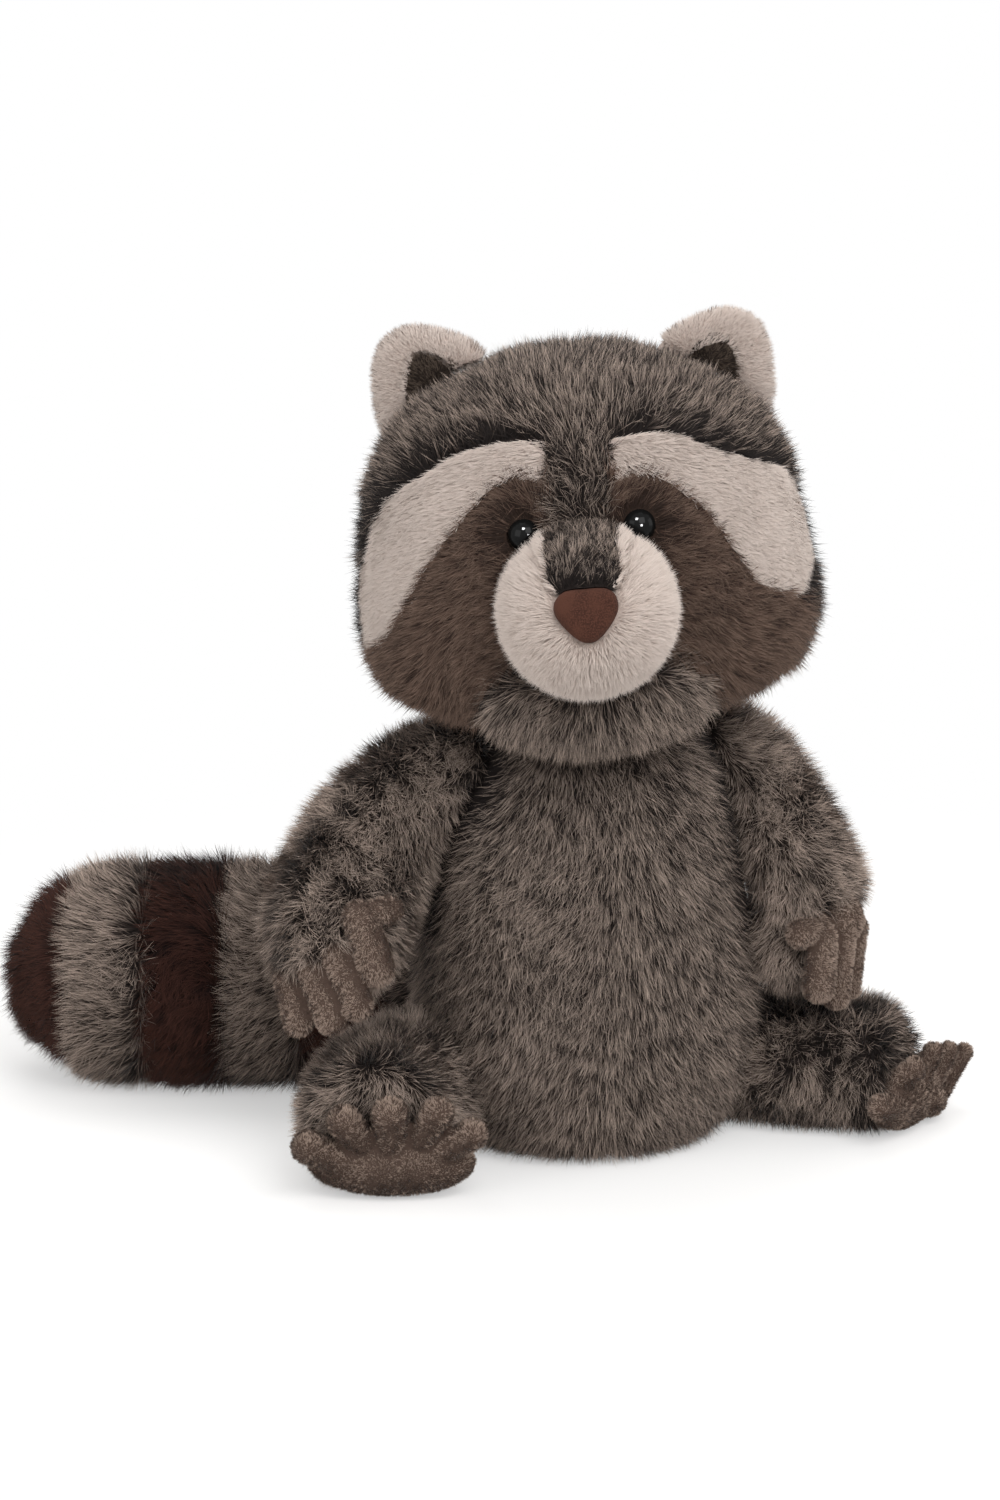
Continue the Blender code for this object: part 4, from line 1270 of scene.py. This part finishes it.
plant("torso_pile", "torso", lay_torso, 10 * MM, LONG_WIDTH, 4.0 * PER_MM2, lean=64, swirl=0.2,
      swirl_wave=45 * MM, tousle=0.2, frizz=0.3, tone_pull=0.56, shade=painted_shade_by_arms_and_ruff,
      trim=short_by(ARMS, 9 * MM, 0.6))
for side in ("left", "right"):
    arm, leg = "arm_" + side, "leg_" + side
    plant(arm + "_pile", arm, ARM_LAY[side], 8.5 * MM, LIMB_WIDTH, 4.3 * PER_MM2, lean=48,
          lean_spread=14, swirl=0.5, swirl_wave=30 * MM, tousle=0.45,
          tousle_wave=7 * MM, frizz=0.5, drift=0.14, drift_wave=10 * MM,
          shade=painted_shade_by(("torso",), 6 * MM, 0.5, LIMB_PAINTED_SHADE_AND_LIGHT[arm]), trim=short_by(("torso",), 7 * MM, 0.4))
    plant(leg + "_pile", leg, LEG_LAY[side], 8 * MM, LIMB_WIDTH, 4.3 * PER_MM2, lean=46, lean_spread=14,
          swirl=0.4, swirl_wave=26 * MM, tousle=0.5, tousle_wave=6 * MM, frizz=0.6, drift=0.16,
          drift_wave=12 * MM, shade=painted_shade_by(("torso",), 6 * MM, 0.5, LIMB_PAINTED_SHADE_AND_LIGHT[leg]))
for node in SWOLLEN:
    if node.startswith("tail"):
        plant(node + "_pile", node, lay_tail, 10.5 * MM, TAIL_WIDTH, 3.3 * PER_MM2, lean=60, swirl=0.35,
              swirl_wave=35 * MM, tousle=0.3, frizz=0.25, length_spread=0.22, shade=painted_light_on_tail)
print("strands on the body", PLANTED)

# %% [markdown]
# The face is sewn from several cloths, so each strand has to know which one it grows from. A brow is inside
# its outline, the grey side of the head lies behind a seam, and the rest of a panel is its own cloth. The
# piles grow from a smooth proxy of the whole head, so that they flow over the seams. Shade is painted into
# the pile just above the brows, where it parts and its shaded roots show, round the eyes and by the nose,
# and a little over all the grey pile of the head and of the bridge.

# %% Where each cloth of the face shows
BROWS = ("brow_stripe_left", "brow_stripe_right")
MASKS = ("mask_patch_left", "mask_patch_right")
EARS = ("ear_left", "ear_right", "ear_lining_left", "ear_lining_right")


def smooth_proxy(nodes, step):
    """A search tree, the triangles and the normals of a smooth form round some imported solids."""
    proxy = remeshed("proxy", nodes, step, 12)
    corners, normals = triangles_of(proxy.data), normals_of(proxy.data)
    tree = BVHTree.FromPolygons(points_of(proxy.data).tolist(), corners.tolist())
    bpy.data.objects.remove(proxy)
    return tree, corners, normals


HEAD_PROXY = smooth_proxy(("head",) + BROWS + MASKS, 3 * MM)
PLUSH_WIDTH = 0.34 * MM
EAR_WIDTH = 0.32 * MM
BRIDGE_HALF_WIDTH = 10.5 * MM
BRIDGE_FOOT = 2 * MM
BRIDGE_FLARE = 0.55


def painted_shade_above_brows(places):
    """Painted shade: the shadow of the parting over each brow, which fades out over the middle of the
    forehead, and a little painted shade over all the head's grey pile.
    """
    sideways = np.abs((places - np.array(HEAD_CENTRE)) @ HEAD_RIGHT)
    return nearness(places, BROWS, 7 * MM) * 0.25 * np.clip(sideways / (14 * MM) - 0.5, 0, 1) + 0.12


# Painted shadow round each eye, where the eye sinks into the pile.
def painted_shade_round_eyes(places):
    return nearness(places, ("eye_left", "eye_right"), 9 * MM) * 0.35


# Painted shade on the grey bridge, deepest where it meets the nose and a little everywhere.
def painted_shade_by_nose(places):
    return nearness(places, ("nose",), 12 * MM) * 0.3 + 0.06


def behind_seam(sideways_right, sideways_left):
    """A test for places on the head's side that lie behind where the grey side of the head begins."""
    def test(places):
        from_centre = places - np.array(HEAD_CENTRE)
        on_right = from_centre @ HEAD_RIGHT > 0
        return from_centre @ HEAD_BACK > np.where(on_right, sideways_right, sideways_left)
    return test


side_of_head = behind_seam(-13 * MM, -1 * MM)


def shows(node, slot):
    """A test for places on a panel of the head where a given cloth shows."""
    def test(places, ups):
        shown = np.full(len(places), "grey_fur", dtype="<U20")
        if node in MASKS:
            shown[~side_of_head(places)] = "mask_fur"
        if node in BROWS:
            shown[~side_of_head(places) & (nearness(places, MASKS, 3 * MM) > 0)] = "mask_fur"
        shown[inside(places, ups, BROW_OUTLINES)] = "beige_plush"
        return shown == slot
    return test


def on_bridge(places, ups):
    """The grey bridge is narrow at the nose and widens towards the brows."""
    from_nose = places - NOSE
    half = np.minimum(BRIDGE_FOOT + BRIDGE_FLARE * np.linalg.norm(from_nose, axis=1), BRIDGE_HALF_WIDTH)
    return np.abs(from_nose @ HEAD_RIGHT) < half


def beside_bridge(places, ups):
    return ~on_bridge(places, ups)


def clear_of_nose_and_eyes(places):
    """A trim for the muzzle's pile: it is cut short where the nose is sewn on and beside the eyes."""
    by_nose, by_eyes = short_by(("nose",), 3.5 * MM, 0.7), short_by(("eye_left", "eye_right"), 5 * MM, 0.6)
    return by_nose(places) * by_eyes(places)


def in_lining(places, ups):
    return inside(places, ups, LINING_OUTLINES)


def out_of_lining(places, ups):
    return ~in_lining(places, ups)


print("smooth head of", len(HEAD_PROXY[1]), "triangles")

# %% [markdown]
# The head and its panels are planted three times over, with grey, beige and brown strands, and each pile
# grows only where its cloth shows. Ears and their linings are planted twice in the same way. It makes more
# pieces than panels, but each piece has one cloth and one material.

# %% Pile of the head and ears
for node in ("head",) + BROWS + MASKS:
    lay_grey = lay_crown if node == "head" else lay_side
    plant(node + "_grey_pile", node, lay_grey, 8.5 * MM, LONG_WIDTH, 3.95 * PER_MM2, lean=55, swirl=0.3,
          swirl_wave=35 * MM, tousle=0.35, frizz=0.42, smooth_over=HEAD_PROXY, keep_off=BROW_OUTLINES,
          shade=painted_shade_above_brows, trim=short_by(EARS, 11 * MM, 0.75), only=shows(node, "grey_fur"),
          slot="grey_fur")
    plant(node + "_beige_pile", node, lay_brow, 4.2 * MM, PLUSH_WIDTH, 8 * PER_MM2, lean=44, lean_spread=8,
          swirl=0.1, tousle=0.08, frizz=0.3, cling=0.15, per_lock=6, tone_pull=0.3, smooth_over=HEAD_PROXY,
          only=shows(node, "beige_plush"), slot="beige_plush", strays=0.02, softness=0.8)
    plant(node + "_brown_pile", node, lay_mask, 8.5 * MM, 0.36 * MM, 4.8 * PER_MM2, lean=62, swirl=0.22,
          swirl_wave=30 * MM, tousle=0.22, frizz=0.25, smooth_over=HEAD_PROXY,
          clear_of=("muzzle", "snout_bridge"), keep_off=BROW_OUTLINES, shade=painted_shade_round_eyes,
          only=shows(node, "mask_fur"), slot="mask_fur")
for side in ("left", "right"):
    ear, lining = "ear_" + side, "ear_lining_" + side
    ear_proxy = smooth_proxy((ear, lining), 1.6 * MM)
    for node in (ear, lining):
        plant(node + "_beige_pile", node, lay_ear, 3.2 * MM, EAR_WIDTH, 8 * PER_MM2, lean=36, lean_spread=12,
              swirl=0.1, tousle=0.15, frizz=0.35, cling=0.2, per_lock=6, tone_pull=0.3,
              keep_off=LINING_OUTLINES, smooth_over=ear_proxy, only=out_of_lining, slot="beige_plush",
              strays=0.12, softness=0.8)
        plant(node + "_dark_pile", node, lay_ear, 2.6 * MM, EAR_WIDTH, 7 * PER_MM2, lean=55, swirl=0.15,
              tousle=0.2, frizz=0.3, cling=0.3, per_lock=6, smooth_over=ear_proxy, only=in_lining,
              slot="ear_lining_plush")
print("piles so far", len(PLANTED))

# %% [markdown]
# The muzzle's short plush spreads from the nose like a rosette. The bridge above it is grey and brushed
# upwards, and a narrow beige edge grows on each side of it. Below the chin hangs the ruff, as long as the
# body's pile.

# %% Pile of the muzzle, bridge and ruff
plant("muzzle_pile", "muzzle", lay_from_nose, 5.2 * MM, 0.35 * MM, 7.0 * PER_MM2, lean=50, swirl=0.1,
      tousle=0.14, frizz=0.28, cling=0.4, per_lock=8, length_spread=0.3, tone_pull=0.3, strays=0.1,
      softness=0.7, trim=clear_of_nose_and_eyes)
plant("snout_bridge_pile", "snout_bridge", lay_bridge, 4.6 * MM, PLUSH_WIDTH, 7.5 * PER_MM2, lean=50,
      swirl=0.2, tousle=0.35, frizz=0.4, shade=painted_shade_by_nose, only=on_bridge)
plant("snout_bridge_edge_pile", "snout_bridge", lay_from_nose, 4.4 * MM, PLUSH_WIDTH, 7.5 * PER_MM2, lean=50,
      swirl=0.1, tousle=0.14, frizz=0.28, cling=0.4, per_lock=8, only=beside_bridge, slot="beige_plush",
      softness=0.7, trim=clear_of_nose_and_eyes)
plant("chin_ruff_pile", "chin_ruff", lay_throat, 9.5 * MM, LONG_WIDTH, 4.6 * PER_MM2, lean=58, swirl=0.2,
      tousle=0.25, frizz=0.3, clear_of=("muzzle",))
print("piles with the face", len(PLANTED))

# %% [markdown]
# Hands and feet are cut from a velvety cloth with a pile under two millimetres long, so they need the most
# strands for their size. The strands are shorter in the creases between the digits, shade is painted into
# them there, and light is painted onto the rounded tops.

# %% Short pile of the hands and feet
NAP_LENGTH = 1.55 * MM
NAP_WIDTH = 0.44 * MM
# How much shade is painted for each millimetre of hollow, and light for each millimetre of bump.
CREASE_PAINTED_SHADE = 3.2
CREASE_TRIM = 2.0

for side in ("left", "right"):
    for paw, lay in (("hand_", HAND_LAY[side]), ("foot_", FOOT_LAY[side])):
        hollow = hollows(paw + side)
        plant(paw + side + "_pile", paw + side, lay, NAP_LENGTH, NAP_WIDTH, 6.7 * PER_MM2, lean=46, swirl=0.4,
              swirl_wave=12 * MM, tousle=0.4, tousle_wave=3 * MM, frizz=0.3, cling=0.3, per_lock=8,
              drift=0.12, drift_wave=3 * MM,
              shade=lambda places: np.clip(hollow(places) * CREASE_PAINTED_SHADE, -0.35, 0.9),
              trim=lambda places: np.clip(1 - hollow(places) * CREASE_TRIM, 0.4, 1))
print("strands", sum(PLANTED.values()), "in", len(PLANTED), "piles")

# %% [markdown]
# A polished eye shows its lamps as glints. The soft boxes are too wide to leave a sharp one in so small a
# dome, so two small lamps shine on the eyes alone, by light linking. The washers behind the cloth are plain
# moulded plastic.

# %% Eye finishes and glints
EYE_MIDDLE = Vector((EYES[0] + EYES[1]) / 2)

eye_material, tree, shader = new_material("eye_plastic_polished")
shader.inputs["Base Color"].default_value = (0.0012, 0.0012, 0.0012, 1)
shader.inputs["Roughness"].default_value = 0.06
shader.inputs["Specular IOR Level"].default_value = 0.1
washer_material, tree, shader = new_material("washer_plastic_moulded")
shader.inputs["Base Color"].default_value = (0.55, 0.55, 0.53, 1)
shader.inputs["Roughness"].default_value = 0.45
eyes_only = bpy.data.collections.new("eyes_only")
low_glint = soft_box("low_glint", azimuth=-4, elevation=6, distance=0.6, size=0.13, power=10,
                     target=EYE_MIDDLE)
high_glint = soft_box("high_glint", azimuth=-40, elevation=48, distance=0.6, size=0.16, power=14,
                      target=EYE_MIDDLE)
for glint in (low_glint, high_glint):
    glint.visible_camera = False
    glint.light_linking.receiver_collection = eyes_only
print("eyes", [(eye_place / MM).round(1).tolist() for eye_place in EYES])

# %% [markdown]
# Safety eyes are turned plastic: a high dome, a thin flange that presses on the cloth, and a stem that goes
# through it to the washer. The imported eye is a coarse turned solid, so the fine one is spun again from its
# own two poles, the top of the dome and the end of the stem.

# %% Eyes
def poles(node):
    """The two ends of a turned solid: the pair of points that are furthest apart, outer one first."""
    points = points_of(NODES[node].data)
    first = points[np.argmax(np.linalg.norm(points - points.mean(axis=0), axis=1))]
    second = points[np.argmax(np.linalg.norm(points - first, axis=1))]
    centre = np.array(HEAD_CENTRE)
    if np.linalg.norm(first - centre) < np.linalg.norm(second - centre):
        first, second = second, first
    return Vector(first), Vector(second)


EYE_SIDES = 48
DOME_STEPS = 14
EYE_RADIUS = 5 * MM
EYE_RISE = 4.4 * MM
FLANGE = 0.8 * MM
STEM_RADIUS = 1.8 * MM

for side in ("left", "right"):
    top, end = poles("eye_" + side)
    axis = (top - end).normalized()
    seat = top - axis * EYE_RISE
    stem_end = (end - seat).dot(axis)
    profile = [(stem_end, 0.0), (stem_end, STEM_RADIUS), (-FLANGE, STEM_RADIUS), (-FLANGE, EYE_RADIUS * 0.96),
               (-FLANGE * 0.7, EYE_RADIUS * 1.02), (-FLANGE * 0.2, EYE_RADIUS * 1.02)]
    profile += [(EYE_RISE * math.sin(a), EYE_RADIUS * math.cos(a))
                for a in np.linspace(0, math.pi / 2, DOME_STEPS)[:-1]]
    profile.append((EYE_RISE, 0.0))
    place = Matrix.Translation(seat) @ axis.to_track_quat("Z", "Y").to_matrix().to_4x4()
    form = bmesh.new()
    rings = []
    for height, radius in profile:
        if radius == 0:
            rings.append([form.verts.new(place @ Vector((0, 0, height)))])
        else:
            rings.append([form.verts.new(place @ Vector((radius * math.cos(t), radius * math.sin(t), height)))
                          for t in np.linspace(0, 2 * math.pi, EYE_SIDES, endpoint=False)])
    for near, far in zip(rings, rings[1:]):
        for k in range(EYE_SIDES):
            after = (k + 1) % EYE_SIDES
            if len(near) == 1:
                form.faces.new((near[0], far[after], far[k]))
            elif len(far) == 1:
                form.faces.new((near[k], near[after], far[0]))
            else:
                form.faces.new((near[k], near[after], far[after], far[k]))
    bmesh.ops.recalc_face_normals(form, faces=form.faces)
    eye = new_piece("eye_" + side + "_polished", form)
    eyes_only.objects.link(eye)
    eye.data.materials.append(eye_material)
    eye.data.shade_smooth()
    eye.data.set_sharp_from_angle(angle=math.radians(50))
    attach(eye, "root")
    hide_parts("eye_" + side)
    washer = NODES["eye_washer_" + side]
    washer.data.materials.clear()
    washer.data.materials.append(washer_material)
print("eyes of", EYE_SIDES, "sides and", len(profile), "rings")

# %% [markdown]
# The nose is a small pad of brown suede, cut as a rounded triangle and sewn on over its edge. A fine remesh
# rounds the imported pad, its lower half is made a little fuller, and the cloth grain group gives its brushed
# surface.

# %% Nose
nose_material = cloth_material("nose_suede_brushed", (0.072, 0.027, 0.0165), (0.036, 0.0125, 0.0075),
                               grain_rate=2300.0, height=0.0002, roughness=0.88)
NOSE_FULLER = 0.32
FULLER_FROM = 0.22
FULLER_OVER = 0.6
nose_piece = remeshed("nose_pad", ["nose"], 0.5 * MM, 6)
nose_points = points_of(nose_piece.data)
nose_heights = (nose_points[:, 2].max() - nose_points[:, 2]) / np.ptp(nose_points[:, 2])
nose_fuller = NOSE_FULLER * np.clip((nose_heights - FULLER_FROM) / FULLER_OVER, 0, 1)
nose_sideways = (nose_points - nose_points.mean(axis=0)) @ HEAD_RIGHT
nose_points += (nose_sideways * nose_fuller)[:, None] * HEAD_RIGHT
set_points(nose_piece.data, nose_points)
nose_piece.data.materials.clear()
nose_piece.data.materials.append(nose_material)
nose_piece.data.shade_smooth()
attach(nose_piece, "root")
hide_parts("nose")
print("nose points", len(nose_points))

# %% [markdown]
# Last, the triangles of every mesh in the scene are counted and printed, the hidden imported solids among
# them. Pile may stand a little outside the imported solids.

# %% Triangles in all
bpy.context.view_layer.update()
meshes = [thing.data for thing in bpy.context.scene.objects if thing.type == "MESH"]
print("triangles in all", sum(len(mesh.loops) - 2 * len(mesh.polygons) for mesh in meshes))
